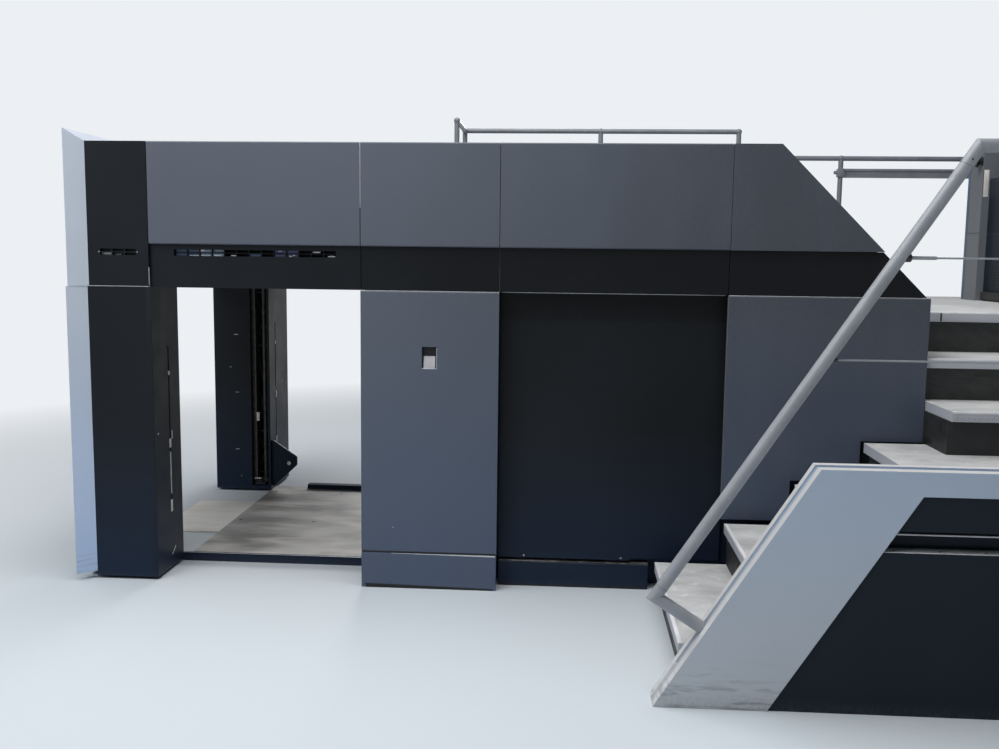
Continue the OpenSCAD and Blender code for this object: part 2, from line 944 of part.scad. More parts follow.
module far_walkway() {
    inner = half_width + 6;
    under = platform_z - deck_t;
    rib = deck_t / 2;
    legs = [walkway_start + leg_inset, (walkway_start + walkway_end) / 2, walkway_end - leg_inset];
    color(tread_grey) placed() {
        // Raised walkway with its legs and cross ribs
        union() {
            block([walkway_start, inner, walkway_z - deck_t], [walkway_end, far_edge, walkway_z]);
            for (x = legs) {
                walkway_leg(x, walkway_z);
                translate([x, 0, walkway_z - 2 * deck_t]) block([-rib, inner, 0], [rib, far_edge - leg_d, deck_t + 1]);
            }
        }
        // Riser down to the platform
        block([walkway_end - riser_t, inner, platform_z + fit], [walkway_end, far_edge, walkway_z - deck_t - fit]);
        // Floor between the raised walkway and the platform
        union() {
            block([walkway_end - riser_t, inner, under], [cross_start - fit, far_edge, platform_z]);
            walkway_leg(cross_start - unit_leg_inset, platform_z);
        }
        // Far gallery beside the unit
        union() {
            block([cross_end + fit, inner, under], [unit_end, far_edge, platform_z]);
            for (x = [unit_start + unit_leg_inset, unit_end - unit_leg_inset]) walkway_leg(x, platform_z);
        }
    }
}

// A guard tube with its posts, parallel to the machine
module guard(from, to, floor_z, height, posts) {
    top = floor_z + height;
    flange_d = 2 * end_inset;
    flange_t = 8;
    bar_xz([from, top], [to, top], far_guard_y, guard_d);
    for (x = posts) {
        bar_xz([x, floor_z], [x, top], far_guard_y, guard_d);
        translate([x, far_guard_y, floor_z]) cylinder(h = flange_t, d = flange_d);
        translate([x, far_guard_y, top]) sphere(d = guard_d + fitting);
    }
}

// Guard of the walkway, with a return to the hood at its end
module walkway_guard() {
    first = walkway_start + end_inset;
    last = walkway_end - end_inset;
    top = walkway_z + walkway_guard_h;
    color(tube_grey) placed() union() {
        guard(first, last, walkway_z, walkway_guard_h, [first, (first + last) / 2, last]);
        translate([first, far_guard_y, top]) rotate([90, 0, 0]) cylinder(h = far_guard_y - return_y, d = guard_d);
        translate([first, return_y, walkway_z]) cylinder(h = walkway_guard_h, d = guard_d);
        translate([first, return_y, top]) sphere(d = guard_d + fitting);
    }
}

// Guard at the far end of the platform, from the raised walkway on, with its knee board
module far_guard() {
    first = walkway_end + far_inset;
    last = unit_end - far_inset;
    board_top = platform_z + board_z;
    color(tube_grey) placed() union() {
        guard(first, last, platform_z, guard_h, [first, board_post, (board_post + last) / 2, last]);
        block([board_post, far_guard_y - board_t / 2, board_top - board_h],
            [last, far_guard_y + board_t / 2, board_top]);
    }
}

// Tall cabinet at the unit's far corner, on the platform
module corner_cabinet() {
    length = 300;
    corner = 14;
    start = unit_start - cabinet_front;
    color("#6f767e") placed() difference() {
        translate([0, 0, platform_z]) linear_extrude(unit_top - platform_z) polygon([
            [start, cabinet_inner],
            [start, cabinet_outer - corner],
            [start + corner, cabinet_outer],
            [start + length, cabinet_outer],
            [start + length, cabinet_inner]
        ]);
        // Joint between the lower and the upper door
        block([start - 1, cabinet_inner - 1, cabinet_joint],
            [start + seam, cabinet_outer + 1, cabinet_joint + seam]);
    }
}

// Printing unit: a closed housing with side covers and a top cover
module unit_body() {
    low = unit_top - unit_slope;
    outline = [
        [unit_start, platform_z],
        [unit_end, platform_z],
        [unit_end, low],
        [unit_end - unit_slope, unit_top],
        [unit_start + unit_slope, unit_top],
        [unit_start, low]
    ];
    color(slate) placed() union() {
        block([unit_start, -unit_side, 0], [unit_end, unit_side, platform_z]);
        difference() {
            side_plate(outline, -unit_side, cabinet_inner);
            // Washing hatch in the sloped front
            translate([unit_start, 0, low]) rotate([0, 45, 0])
                block([-seam, -unit_side + unit_slope, unit_slope / 3], [seam, cabinet_inner - unit_slope, unit_slope]);
        }
        // Side cover over the drive, with its bevelled rim
        translate([0, -unit_side, 0]) {
            side_plate(unit_door(0), -side_panel_t / 2, 0);
            side_plate(unit_door(side_panel_t / 2), -side_panel_t, -side_panel_t / 2);
        }
    }
}

// Outline of the unit's side cover, drawn in by a margin
function unit_door(margin) = [
    [unit_start + 40 + margin, gallery_z + 30 + margin],
    [unit_end - 40 - margin, gallery_z + 30 + margin],
    [unit_end - 40 - margin, unit_top - unit_slope - margin],
    [unit_end - unit_slope - margin, unit_top - 40 - margin],
    [unit_start + unit_slope + margin, unit_top - 40 - margin],
    [unit_start + 40 + margin, unit_top - unit_slope - margin]
];

front_trim_upper();
front_trim_near();
front_trim_far();
near_pillar();
far_pillar();
lift_spindles();
guard_bracket();
near_corner_column();
front_header();
hood_housing();
near_hood_panel_1();
near_hood_panel_2();
near_hood_panel_3();
near_slope_panel();
far_hood_panels();
near_band();
far_band();
slot_grille();
top_covers();
slope_covers();
delivery_body();
service_cover();
service_frame();
kick_panel();
recess_panel();
base_plinth();
stepped_panel();
far_side_panels();
pile_floor_plates();
pallet_stop();
lower_treads();
lower_risers();
gallery_deck();
cross_treads();
cross_base();
cross_platform();
gallery_side_frame();
gallery_cladding();
handrail();
knee_rods();
far_walkway();
walkway_guard();
far_guard();
corner_cabinet();
unit_body();
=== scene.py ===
import json
import math

import bmesh
import bpy
from mathutils import Matrix, Vector


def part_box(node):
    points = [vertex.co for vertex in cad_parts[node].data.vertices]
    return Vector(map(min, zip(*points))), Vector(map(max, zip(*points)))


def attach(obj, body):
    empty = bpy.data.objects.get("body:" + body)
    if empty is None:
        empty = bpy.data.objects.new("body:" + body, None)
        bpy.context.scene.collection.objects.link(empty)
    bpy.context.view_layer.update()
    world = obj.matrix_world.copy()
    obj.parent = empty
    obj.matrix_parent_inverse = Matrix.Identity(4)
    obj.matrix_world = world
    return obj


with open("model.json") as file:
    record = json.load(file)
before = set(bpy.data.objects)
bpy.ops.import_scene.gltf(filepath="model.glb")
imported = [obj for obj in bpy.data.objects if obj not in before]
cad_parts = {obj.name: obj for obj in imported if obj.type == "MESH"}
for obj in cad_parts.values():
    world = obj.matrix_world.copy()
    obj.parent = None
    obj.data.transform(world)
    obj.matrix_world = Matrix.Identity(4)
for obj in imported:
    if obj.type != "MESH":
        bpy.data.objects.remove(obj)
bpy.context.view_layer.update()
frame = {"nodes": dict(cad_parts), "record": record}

# One millimetre in the scene's metres, and how far a thin piece sinks into what carries it
MM = 0.001
SEAT = 0.2

# Edges that bend by more than these angles are broken, and shaded as sharp
BROKEN_BEND = 0.5
SHARP_BEND = math.radians(35)

# The ways that screws, bolts and knobs look
TO_PORTAL = (-1, 0, 0)
TO_NEAR = (0, -1, 0)
TO_FAR = (0, 1, 0)
UP = (0, 0, 1)

# Places are in millimetres in the machine's frame, as on its drawings: x runs along the press
# from the pillars' front, y across it from the centre line, and z up from the floor

near_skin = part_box("near_hood_panel_1")[0].y
far_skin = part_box("far_hood_panels")[1].y
HOME = Vector((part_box("near_corner_column")[0].x, (near_skin + far_skin) / 2, 0))


class Box:
    """A node's box in the machine's frame. Left is towards the portal, near is the operator's side."""

    def __init__(self, node):
        low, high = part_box(node)
        self.left, self.near, self.bottom = (low - HOME) / MM
        self.right, self.far, self.top = (high - HOME) / MM


# Mesh building

class Piece:
    """A dressing piece: bars, plates, rods and turned parts gathered in one mesh."""

    def __init__(self, name):
        self.name = name
        self.mesh = bmesh.new()

    def absorb(self, part, cut=0.0):
        """Breaks a part's sharp edges by cut and adds it to the piece."""
        bmesh.ops.recalc_face_normals(part, faces=part.faces)
        part.normal_update()
        if cut:
            manifold = [edge for edge in part.edges if edge.is_manifold]
            sharp = [edge for edge in manifold if edge.calc_face_angle() > BROKEN_BEND]
            bmesh.ops.bevel(part, geom=sharp, offset=cut, segments=2, affect="EDGES", profile=0.5)
        data = bpy.data.meshes.new("part")
        part.to_mesh(data)
        part.free()
        self.mesh.from_mesh(data)
        bpy.data.meshes.remove(data)

    def bar(self, low, high, cut=0.6):
        """A box between two corners."""
        part = bmesh.new()
        bmesh.ops.create_cube(part, size=1)
        low, high = Vector(low), Vector(high)
        for vert in part.verts:
            vert.co = (low + high) / 2 + Vector(a * b for a, b in zip(vert.co, high - low))
        self.absorb(part, cut)

    def plate(self, outline, axis, start, end, cut=0.3):
        """An outline in the two other axes, drawn out along an axis from start to end."""
        order = {"x": (2, 0, 1), "y": (0, 2, 1), "z": (0, 1, 2)}[axis]
        part = bmesh.new()
        ends = []
        for level in (start, end):
            corners = [(*point, level) for point in outline]
            ends.append([part.verts.new([corner[i] for i in order]) for corner in corners])
        part.faces.new(ends[0])
        part.faces.new(ends[1])
        count = len(outline)
        for i in range(count):
            j = (i + 1) % count
            part.faces.new((ends[0][i], ends[0][j], ends[1][j], ends[1][i]))
        self.absorb(part, cut)

    def turned(self, place, out, rings, sides=24):
        """Rings of (radius, height) along out, closed at both ends. A third entry of 6 makes a ring
        hexagonal."""
        part = bmesh.new()
        turn = Vector(UP).rotation_difference(Vector(out)).to_matrix()
        loops = []
        for radius, height, *corners in rings:
            loop = []
            for i in range(sides):
                angle = math.tau * i / sides
                reach = radius
                if corners:
                    sector = math.tau / corners[0]
                    reach *= math.cos(sector / 2) / math.cos((angle % sector) - sector / 2)
                point = Vector((reach * math.cos(angle), reach * math.sin(angle), height))
                loop.append(part.verts.new(Vector(place) + turn @ point))
            loops.append(loop)
        for lower, upper in zip(loops, loops[1:]):
            for i in range(sides):
                j = (i + 1) % sides
                part.faces.new((lower[i], lower[j], upper[j], upper[i]))
        part.faces.new(loops[0])
        part.faces.new(loops[-1])
        self.absorb(part)

    def rod(self, start, end, d, sides=20):
        """A round bar with broken edges."""
        r = d / 2
        run = Vector(end) - Vector(start)
        edge = min(0.08 * d, 0.4 * run.length)
        rings = [(r - edge, 0), (r, edge), (r, run.length - edge), (r - edge, run.length)]
        self.turned(start, run, rings, sides)

    def socket_screw(self, place, out, d):
        """A domed screw head with a hexagon socket."""
        r = d / 2
        rings = [(r, -SEAT), (r, 0.25 * r), (0.85 * r, 0.5 * r), (0.5 * r, 0.62 * r)]
        rings += [(0.46 * r, 0.6 * r, 6), (0.44 * r, 0.2 * r, 6)]
        self.turned(place, out, rings)

    def bolt(self, place, out, d):
        """A hexagon head on its washer."""
        r = d / 2
        rings = [(1.15 * r, -SEAT), (1.15 * r, 0.22 * r), (0.98 * r, 0.24 * r)]
        rings += [(r, 0.25 * r, 6), (r, 0.95 * r, 6), (0.85 * r, 1.1 * r)]
        self.turned(place, out, rings)

    def slot_screw(self, place, wide):
        """A slotted head on a face that looks to the near side, seen as a short dash."""
        high, proud = 4.5, 2.2
        x, y, z = place
        self.bar((x - wide / 2, y - proud, z - high / 2), (x + wide / 2, y + SEAT, z + high / 2), 1.0)

    def lay(self, material):
        """Puts the piece in the scene, riding on the press."""
        data = bpy.data.meshes.new(self.name)
        self.mesh.transform(Matrix.Translation(HOME) @ Matrix.Scale(MM, 4))
        self.mesh.to_mesh(data)
        self.mesh.free()
        data.shade_smooth()
        data.set_sharp_from_angle(angle=SHARP_BEND)
        data.materials.append(material)
        piece = bpy.data.objects.new(self.name, data)
        bpy.context.scene.collection.objects.link(piece)
        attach(piece, "root")


def lay_bar(name, low, high, cut, material):
    """Lays a piece that is a single bar."""
    piece = Piece(name)
    piece.bar(low, high, cut)
    piece.lay(material)


def lay_screws(name, places, out, d, material):
    """Lays a piece of socket screws, all of one size and looking one way."""
    piece = Piece(name)
    for place in places:
        piece.socket_screw(place, out, d)
    piece.lay(material)


# Shader building

class Shader:
    """One material's node tree, with short calls for the nodes that the finishes share."""

    def __init__(self, name):
        self.material = bpy.data.materials.new(name)
        self.material.use_nodes = True
        self.tree = self.material.node_tree
        self.nodes = self.tree.nodes
        self.bsdf = self.nodes["Principled BSDF"]
        self.place = self.nodes.new("ShaderNodeTexCoord").outputs["Object"]
        self.normal = self.nodes.new("ShaderNodeNewGeometry").outputs["Normal"]

    def link(self, source, target):
        """Sets a socket to a number or colour, or links it to another socket. None leaves it as it is."""
        if isinstance(source, (int, float)):
            target.default_value = source
        elif isinstance(source, tuple):
            target.default_value = (*source, 1) if target.type == "RGBA" else source
        elif source is not None:
            self.tree.links.new(source, target)

    def add(self, kind, output, inputs, **settings):
        """Adds a node with its settings, feeds its inputs and returns one of its outputs."""
        node = self.nodes.new("ShaderNode" + kind)
        for setting, value in settings.items():
            setattr(node, setting, value)
        for socket, source in inputs.items():
            self.link(source, node.inputs[socket])
        return node.outputs[output]

    def noise(self, scale, detail, rough, stretch=(1, 1, 1), distort=0.0):
        """Cloudy noise in the object's own coordinates, scaled along each axis by stretch."""
        place = self.add("Mapping", "Vector", {"Vector": self.place, "Scale": stretch})
        return self.add("TexNoise", "Fac", {
            "Vector": place, "Scale": scale, "Detail": detail, "Roughness": rough, "Distortion": distort,
        })

    def cells(self, scale, randomness=1.0):
        """The distance from the middle of the nearest cell."""
        inputs = {"Vector": self.place, "Scale": scale, "Randomness": randomness}
        return self.add("TexVoronoi", "Distance", inputs)

    def span(self, value, low, high, to_low=0.0, to_high=1.0):
        """value's range from low to high, spread over to_low to to_high and held there."""
        return self.add("MapRange", "Result", {
            "Value": value, "From Min": low, "From Max": high, "To Min": to_low, "To Max": to_high,
        })

    def math(self, operation, first, second=0.0):
        return self.add("Math", "Value", {0: first, 1: second}, operation=operation, use_clamp=True)

    def times(self, first, second):
        return self.math("MULTIPLY", first, second)

    def mix(self, share, first, second):
        """The first colour, with a share of the second one over it."""
        return self.add("Mix", 2, {0: share, 6: first, 7: second}, data_type="RGBA")

    def axis(self, name):
        """The place along an axis, in metres."""
        return self.add("SeparateXYZ", name, {"Vector": self.place})

    def facing(self, name):
        """How far the surface faces along an axis, from -1 to 1."""
        return self.add("SeparateXYZ", name, {"Vector": self.normal})

    def rounded(self, radius):
        """The normal as if each edge had a small radius."""
        return self.add("Bevel", "Normal", {"Radius": radius}, samples=4)

    def edges(self, radius):
        """1 on an edge and 0 on flat ground, from the rounded normal."""
        inputs = {0: self.rounded(radius), 1: self.normal}
        return self.span(self.add("VectorMath", "Value", inputs, operation="DOT_PRODUCT"), 0.99, 0.8)

    def bump(self, height, distance, strength, normal=None):
        inputs = {"Height": height, "Distance": distance, "Strength": strength, "Normal": normal}
        return self.add("Bump", "Normal", inputs)

    def finish(self, colour, rough, normal=None, **constants):
        """Joins the parts to the surface shader and returns the material."""
        inputs = {"Base Color": colour, "Roughness": rough, "Normal": normal}
        inputs |= {socket.replace("_", " "): number for socket, number in constants.items()}
        for socket, source in inputs.items():
            self.link(source, self.bsdf.inputs[socket])
        return self.material


def shade(colour, factor):
    return tuple(min(1.0, channel * factor) for channel in colour)


def painted_floor_reflection(s, base, colour, cool, top=1.5, share=1.0):
    """Paints a reflection of the floor: the paint turns to its cooler tone from a height down to the floor.
    """
    low = s.span(s.axis("Z"), top, 0.0, 0, share)
    tone = tuple(channel * factor for channel, factor in zip(colour, cool))
    return s.mix(low, base, tone)


def dust(s, base, height, share, tone):
    """A faint veil of floor dust on the lowest stretch of a face."""
    low = s.span(s.axis("Z"), height, 0.0)
    patchy = s.times(low, s.span(s.noise(85, 5, 0.7, stretch=(1, 1, 0.5)), 0.35, 0.75))
    return s.mix(s.times(patchy, share), base, tone)


# In the finishes, fold is the radius of a part's edges, where wear shows

def structured_paint(name, colour, grain=0.16 * MM, edge=1.7, cool=(0.82, 1.04, 1.42), gloss=0.4, lee=1.0):
    """Powder coat with a fine orange-peel grain, faint wipe marks, paler edges and a painted reflection of
    the floor low down. The last argument paints shade: how much darker the coat is painted towards the
    stair, against its tone at the portal."""
    portal_end, stair_end = -1.5, 0.1
    fold = 1.6 * MM
    s = Shader(name)
    cloud = s.noise(0.9, 3, 0.5)
    wipe = s.noise(3.5, 4, 0.6, stretch=(1.2, 1.2, 0.25))
    speck = s.noise(420, 2, 0.5)
    base = s.mix(s.span(cloud, 0.35, 0.65), shade(colour, 0.95), shade(colour, 1.06))
    # Painted shade: the coat darkens from the portal towards the stair, standing in for light falling off
    base = s.mix(s.span(s.axis("X"), portal_end, stair_end), base, shade(colour, lee))
    # Painted reflection of the floor on the lower part
    base = painted_floor_reflection(s, base, colour, cool, share=0.8)
    base = s.mix(s.span(wipe, 0.45, 0.75, 0, 0.25), base, shade(colour, 1.16))
    base = s.mix(s.span(speck, 0.4, 0.7, 0, 0.35), base, shade(colour, 1.25))
    base = dust(s, base, 0.05, 0.12, (0.3, 0.32, 0.34))
    worn = s.times(s.edges(fold), s.span(s.noise(60, 3, 0.6), 0.3, 0.6, 0.45, 1))
    base = s.mix(worn, base, shade(colour, edge))
    rough = s.span(wipe, 0.3, 0.7, 0.5, 0.62)
    normal = s.bump(speck, grain, 0.6, s.rounded(fold))
    return s.finish(base, rough, normal, Specular_IOR_Level=gloss)


def satin_black():
    """Smooth satin black lacquer with hand marks in its gloss and thin scratches."""
    colour = (0.0095, 0.0118, 0.015)
    fold = 1.2 * MM
    s = Shader("black_paint")
    hand = s.noise(5, 5, 0.65, distort=0.4)
    cloud = s.noise(1.1, 2, 0.5)
    base = s.mix(s.span(cloud, 0.3, 0.7), shade(colour, 0.85), shade(colour, 1.2))
    # Painted reflection of the blue floor on the lower part
    base = painted_floor_reflection(s, base, colour, (1.1, 1.9, 3.3), top=0.8, share=0.85)
    # Painted shade: the band over the doors is painted deeper black towards the stair
    past_portal = s.span(s.axis("X"), -2.2, -1.4)
    over_doors = s.span(s.axis("Z"), 1.34, 1.36)
    base = s.mix(s.times(past_portal, over_doors), base, shade(colour, 0.6))
    base = s.mix(s.span(hand, 0.55, 0.8, 0, 0.22), base, shade(colour, 1.9))
    scratch = s.span(s.noise(30, 2, 0.5, stretch=(6, 6, 0.4)), 0.73, 0.76)
    base = s.mix(s.times(scratch, 0.12), base, (0.08, 0.085, 0.09))
    base = dust(s, base, 0.04, 0.2, (0.16, 0.17, 0.18))
    base = s.mix(s.times(s.edges(fold), 0.6), base, shade(colour, 5.0))
    rough = s.span(hand, 0.3, 0.75, 0.38, 0.52)
    normal = s.bump(s.noise(260, 2, 0.5), 0.08 * MM, 0.5, s.rounded(fold))
    return s.finish(base, rough, normal, Specular_IOR_Level=0.16)


def silver_paint(name, colour=(0.5, 0.55, 0.63), cool=(0.82, 1.0, 1.26), top=1.4, edge=1.4, rims=None):
    """Metallic lacquer: fine flakes, a soft sheen, scuffs, a little grime at the floor and a painted floor
    reflection low down. Rims are the
    two edges of a groove along the press: outside it the faces that look up are painted pale as painted
    light from above, and the groove between stays darker as painted shade."""
    fold = 1.4 * MM
    s = Shader(name)
    flake = s.cells(900)
    cloud = s.noise(1.4, 3, 0.5)
    base = s.mix(s.span(cloud, 0.3, 0.7), shade(colour, 0.96), shade(colour, 1.04))
    # Painted reflection of the floor on the lower part
    base = painted_floor_reflection(s, base, colour, cool, top=top)
    base = s.mix(s.span(flake, 0.2, 0.7, 0, 0.18), base, shade(colour, 1.3))
    scuff = s.span(s.noise(24, 3, 0.6, stretch=(3, 3, 0.8)), 0.7, 0.76, 0, 0.25)
    base = s.mix(scuff, base, shade(colour, 0.75))
    if rims:
        near_rim, far_rim = rims
        nearer = s.span(s.axis("Y"), near_rim, near_rim - MM)
        farther = s.span(s.axis("Y"), far_rim, far_rim + MM)
        # Painted light on the faces that look up, outside the groove
        painted_light_on_tops = s.span(s.facing("Z"), 0.3, 0.5)
        base = s.mix(s.times(painted_light_on_tops, s.math("ADD", nearer, farther)), base, (0.74, 0.74, 0.75))
    smear = s.span(s.noise(5, 5, 0.7, stretch=(1, 1, 9), distort=0.6), 0.5, 0.62)
    foot = s.span(s.axis("Z"), 0.2, 0.02)
    base = s.mix(s.times(s.times(smear, foot), 0.5), base, (0.13, 0.135, 0.135))
    base = dust(s, base, 0.07, 0.45, (0.14, 0.145, 0.14))
    base = s.mix(s.times(s.edges(fold), 0.7), base, shade(colour, edge))
    rough = s.span(s.noise(7, 4, 0.6), 0.3, 0.7, 0.38, 0.5)
    normal = s.bump(flake, 0.05 * MM, 0.4, s.rounded(fold))
    return s.finish(base, rough, normal, Metallic=0.25, Specular_IOR_Level=0.5)


def tread_metal():
    """Aluminium treads with small raised dots, walked dull in the middle and bright at the nosing."""
    colour = (0.6, 0.61, 0.62)
    fold = 2.0 * MM
    s = Shader("tread_metal")
    wear = s.noise(2.6, 5, 0.65, stretch=(1, 1.6, 1))
    scuff = s.noise(9, 6, 0.75, stretch=(1.4, 2, 1), distort=0.8)
    base = s.mix(s.span(wear, 0.35, 0.68), shade(colour, 0.7), shade(colour, 1.1))
    base = s.mix(s.span(scuff, 0.54, 0.7, 0, 0.6), base, (0.82, 0.82, 0.81))
    # Painted light: the platform and the walkway, at the top, are painted paler
    painted_light_high_up = s.span(s.axis("Z"), 1.36, 1.39, 0, 0.4)
    base = s.mix(painted_light_high_up, base, shade(colour, 1.3))
    stain = s.span(s.noise(5, 4, 0.6, distort=1.2), 0.6, 0.8, 0, 0.5)
    base = s.mix(stain, base, (0.3, 0.3, 0.29))
    # Painted shade: faces that look sideways, not up or down, take a darker blue-grey
    flat = s.span(s.math("ABSOLUTE", s.facing("Z")), 0.5, 0.9)
    base = s.mix(flat, (0.4, 0.415, 0.46), base)
    base = s.mix(s.times(s.edges(fold), 0.85), base, (0.78, 0.78, 0.77))
    dots = s.span(s.cells(38, randomness=0.0), 0.16, 0.34, 1, 0)
    rough = s.span(scuff, 0.3, 0.75, 0.42, 0.62)
    normal = s.bump(dots, 2 * MM, 0.8, s.rounded(fold))
    return s.finish(base, rough, normal, Metallic=0.15)


def riser_black():
    """Black step fronts, smeared green-grey by shoes and wiping, and painted darker low on the stair as
    painted shade.
    """
    fold = 1.2 * MM
    s = Shader("riser_black")
    smear = s.noise(6, 6, 0.7, stretch=(1, 1, 1.6), distort=1.5)
    fine = s.noise(40, 5, 0.7)
    base = s.mix(s.span(smear, 0.4, 0.75), (0.012, 0.013, 0.0135), (0.045, 0.049, 0.046))
    base = s.mix(s.span(fine, 0.6, 0.8, 0, 0.25), base, (0.12, 0.125, 0.118))
    # Painted shade: the fronts darken below about 1.1 m
    base = s.mix(s.span(s.axis("Z"), 1.1, 0.95, 0, 0.55), base, (0.006, 0.0065, 0.0075))
    base = s.mix(s.times(s.edges(fold), 0.5), base, (0.18, 0.19, 0.2))
    rough = s.span(smear, 0.3, 0.7, 0.4, 0.7)
    normal = s.bump(fine, 0.1 * MM, 0.5, s.rounded(fold))
    return s.finish(base, rough, normal)


def floor_steel():
    """Bare steel plates, brown with use, streaked along the press by pallets."""
    plate_joint = -2.817
    s = Shader("floor_plate")
    streak = s.noise(3.4, 4, 0.55, stretch=(0.6, 2.6, 1), distort=0.5)
    cloud = s.noise(2.1, 3, 0.5, stretch=(1, 1.8, 1))
    spot = s.noise(70, 4, 0.7)
    base = s.mix(s.span(cloud, 0.4, 0.6), (0.25, 0.245, 0.24), (0.5, 0.49, 0.475))
    # The plate towards the portal is painted paler: partly its own tone, partly painted light for the shade
    # it lies in
    portal_side = s.span(s.axis("X"), plate_joint + 0.5 * MM, plate_joint - 0.5 * MM, 0, 0.75)
    base = s.mix(portal_side, base, (0.95, 0.94, 0.9))
    base = s.mix(s.span(streak, 0.5, 0.72, 0, 0.7), base, (0.68, 0.64, 0.59))
    base = s.mix(s.span(spot, 0.6, 0.75, 0, 0.4), base, (0.15, 0.145, 0.14))
    base = s.mix(s.times(s.edges(3 * MM), 0.8), base, (0.7, 0.68, 0.65))
    rough = s.span(streak, 0.3, 0.7, 0.36, 0.55)
    normal = s.bump(s.noise(180, 3, 0.6, stretch=(0.2, 1, 1)), 0.1 * MM, 0.5, s.rounded(2 * MM))
    return s.finish(base, rough, normal, Metallic=0.1)


def tube_paint(name, colour):
    """Grey lacquer on tubes, rubbed bright where hands slide."""
    s = Shader(name)
    rub = s.noise(7, 4, 0.6)
    fine = s.noise(160, 3, 0.6)
    base = s.mix(s.span(rub, 0.35, 0.7), shade(colour, 0.88), shade(colour, 1.12))
    base = s.mix(s.span(fine, 0.6, 0.75, 0, 0.3), base, shade(colour, 1.4))
    chip = s.span(s.noise(45, 3, 0.6), 0.74, 0.77, 0, 0.8)
    base = s.mix(chip, base, (0.62, 0.62, 0.6))
    rough = s.span(rub, 0.3, 0.7, 0.34, 0.46)
    return s.finish(base, rough, s.bump(fine, 0.06 * MM, 0.4), Specular_IOR_Level=0.55)


def greased_steel():
    """Steel of spindles and guides under old grease, with a fine thread up its length."""
    s = Shader("spindle_steel")
    grease = s.noise(28, 5, 0.7)
    base = s.mix(s.span(grease, 0.4, 0.65), (0.07, 0.064, 0.06), (0.15, 0.145, 0.14))
    rough = s.span(grease, 0.35, 0.65, 0.3, 0.5)
    thread = s.noise(1, 0, 0.5, stretch=(0, 0, 260))
    return s.finish(base, rough, s.bump(thread, 0.6 * MM, 0.6), Metallic=0.4)


def bare_metal(name, colour, metallic=0.5):
    """Bare strips, screws and grilles with a short brushed grain and dull spots."""
    s = Shader(name)
    grain = s.noise(90, 3, 0.6, stretch=(0.3, 1, 3))
    dull = s.noise(22, 4, 0.65)
    base = s.mix(s.span(grain, 0.35, 0.65), shade(colour, 0.8), shade(colour, 1.15))
    base = s.mix(s.span(dull, 0.6, 0.8, 0, 0.5), base, shade(colour, 0.45))
    rough = s.span(grain, 0.3, 0.7, 0.28, 0.45)
    return s.finish(base, rough, s.bump(grain, 0.05 * MM, 0.4), Metallic=metallic)


def plain_plastic(name, colour, rough=(0.4, 0.55), worn=1.3):
    """Moulded plastic or rubber with a fine grain, handled dull in places."""
    fold = 0.8 * MM
    s = Shader(name)
    grain = s.noise(320, 2, 0.5)
    hand = s.noise(12, 4, 0.6)
    base = s.mix(s.span(hand, 0.4, 0.7), shade(colour, 0.9), shade(colour, 1.08))
    base = s.mix(s.times(s.edges(fold), 0.6), base, shade(colour, worn))
    normal = s.bump(grain, 0.05 * MM, 0.5, s.rounded(fold))
    return s.finish(base, s.span(hand, 0.3, 0.7, *rough), normal)


def worn_sill():
    """A sill strip whose paint is walked off: brownish white with dark scars."""
    s = Shader("worn_sill")
    scar = s.noise(26, 6, 0.75, stretch=(0.5, 1, 1.5), distort=0.9)
    fine = s.noise(150, 4, 0.7)
    base = s.mix(s.span(scar, 0.45, 0.7), (0.05, 0.05, 0.05), (0.36, 0.345, 0.32))
    base = s.mix(s.span(fine, 0.6, 0.75, 0, 0.5), base, (0.16, 0.14, 0.12))
    rough = s.span(scar, 0.3, 0.7, 0.5, 0.75)
    return s.finish(base, rough, s.bump(scar, 0.3 * MM, 0.6))


# Finishes: one for each of the record's material slots, and then those of single nodes and pieces

navy_coat = {"grain": 0.1 * MM, "edge": 4.0, "cool": (1, 1, 1), "gloss": 0.22}
finishes = {
    # Slate is painted darker towards the stair, as painted shade
    "slate_paint": structured_paint("slate_paint", (0.081, 0.095, 0.122), lee=0.54),
    "black_paint": satin_black(),
    "silver_paint": silver_paint("silver_paint"),
    "navy_paint": structured_paint("navy_paint", (0.0065, 0.0125, 0.0215), **navy_coat),
    "unit_paint": structured_paint("unit_paint", (0.116, 0.126, 0.141)),
    "tread_metal": tread_metal(),
    "floor_plate": floor_steel(),
    "tube_paint": tube_paint("tube_paint", (0.255, 0.27, 0.3)),
    "spindle_steel": greased_steel(),
    "grille_metal": bare_metal("grille_metal", (0.5, 0.52, 0.54)),
}
# The groove's rims: upward faces beside it are painted pale, as painted light
groove = (-2.036, -1.994)
frame_silver = silver_paint("frame_silver", (0.38, 0.46, 0.57), (1.32, 1.12, 0.94), 0.9, 1.6, groove)
# A darker copy of the tube paint for the guards: partly their own paint, partly painted shade for the less
# light they stand in
guard_paint_and_shade = tube_paint("guard_paint_and_shade", (0.165, 0.18, 0.205))
riser_paint = riser_black()
sill_paint = worn_sill()
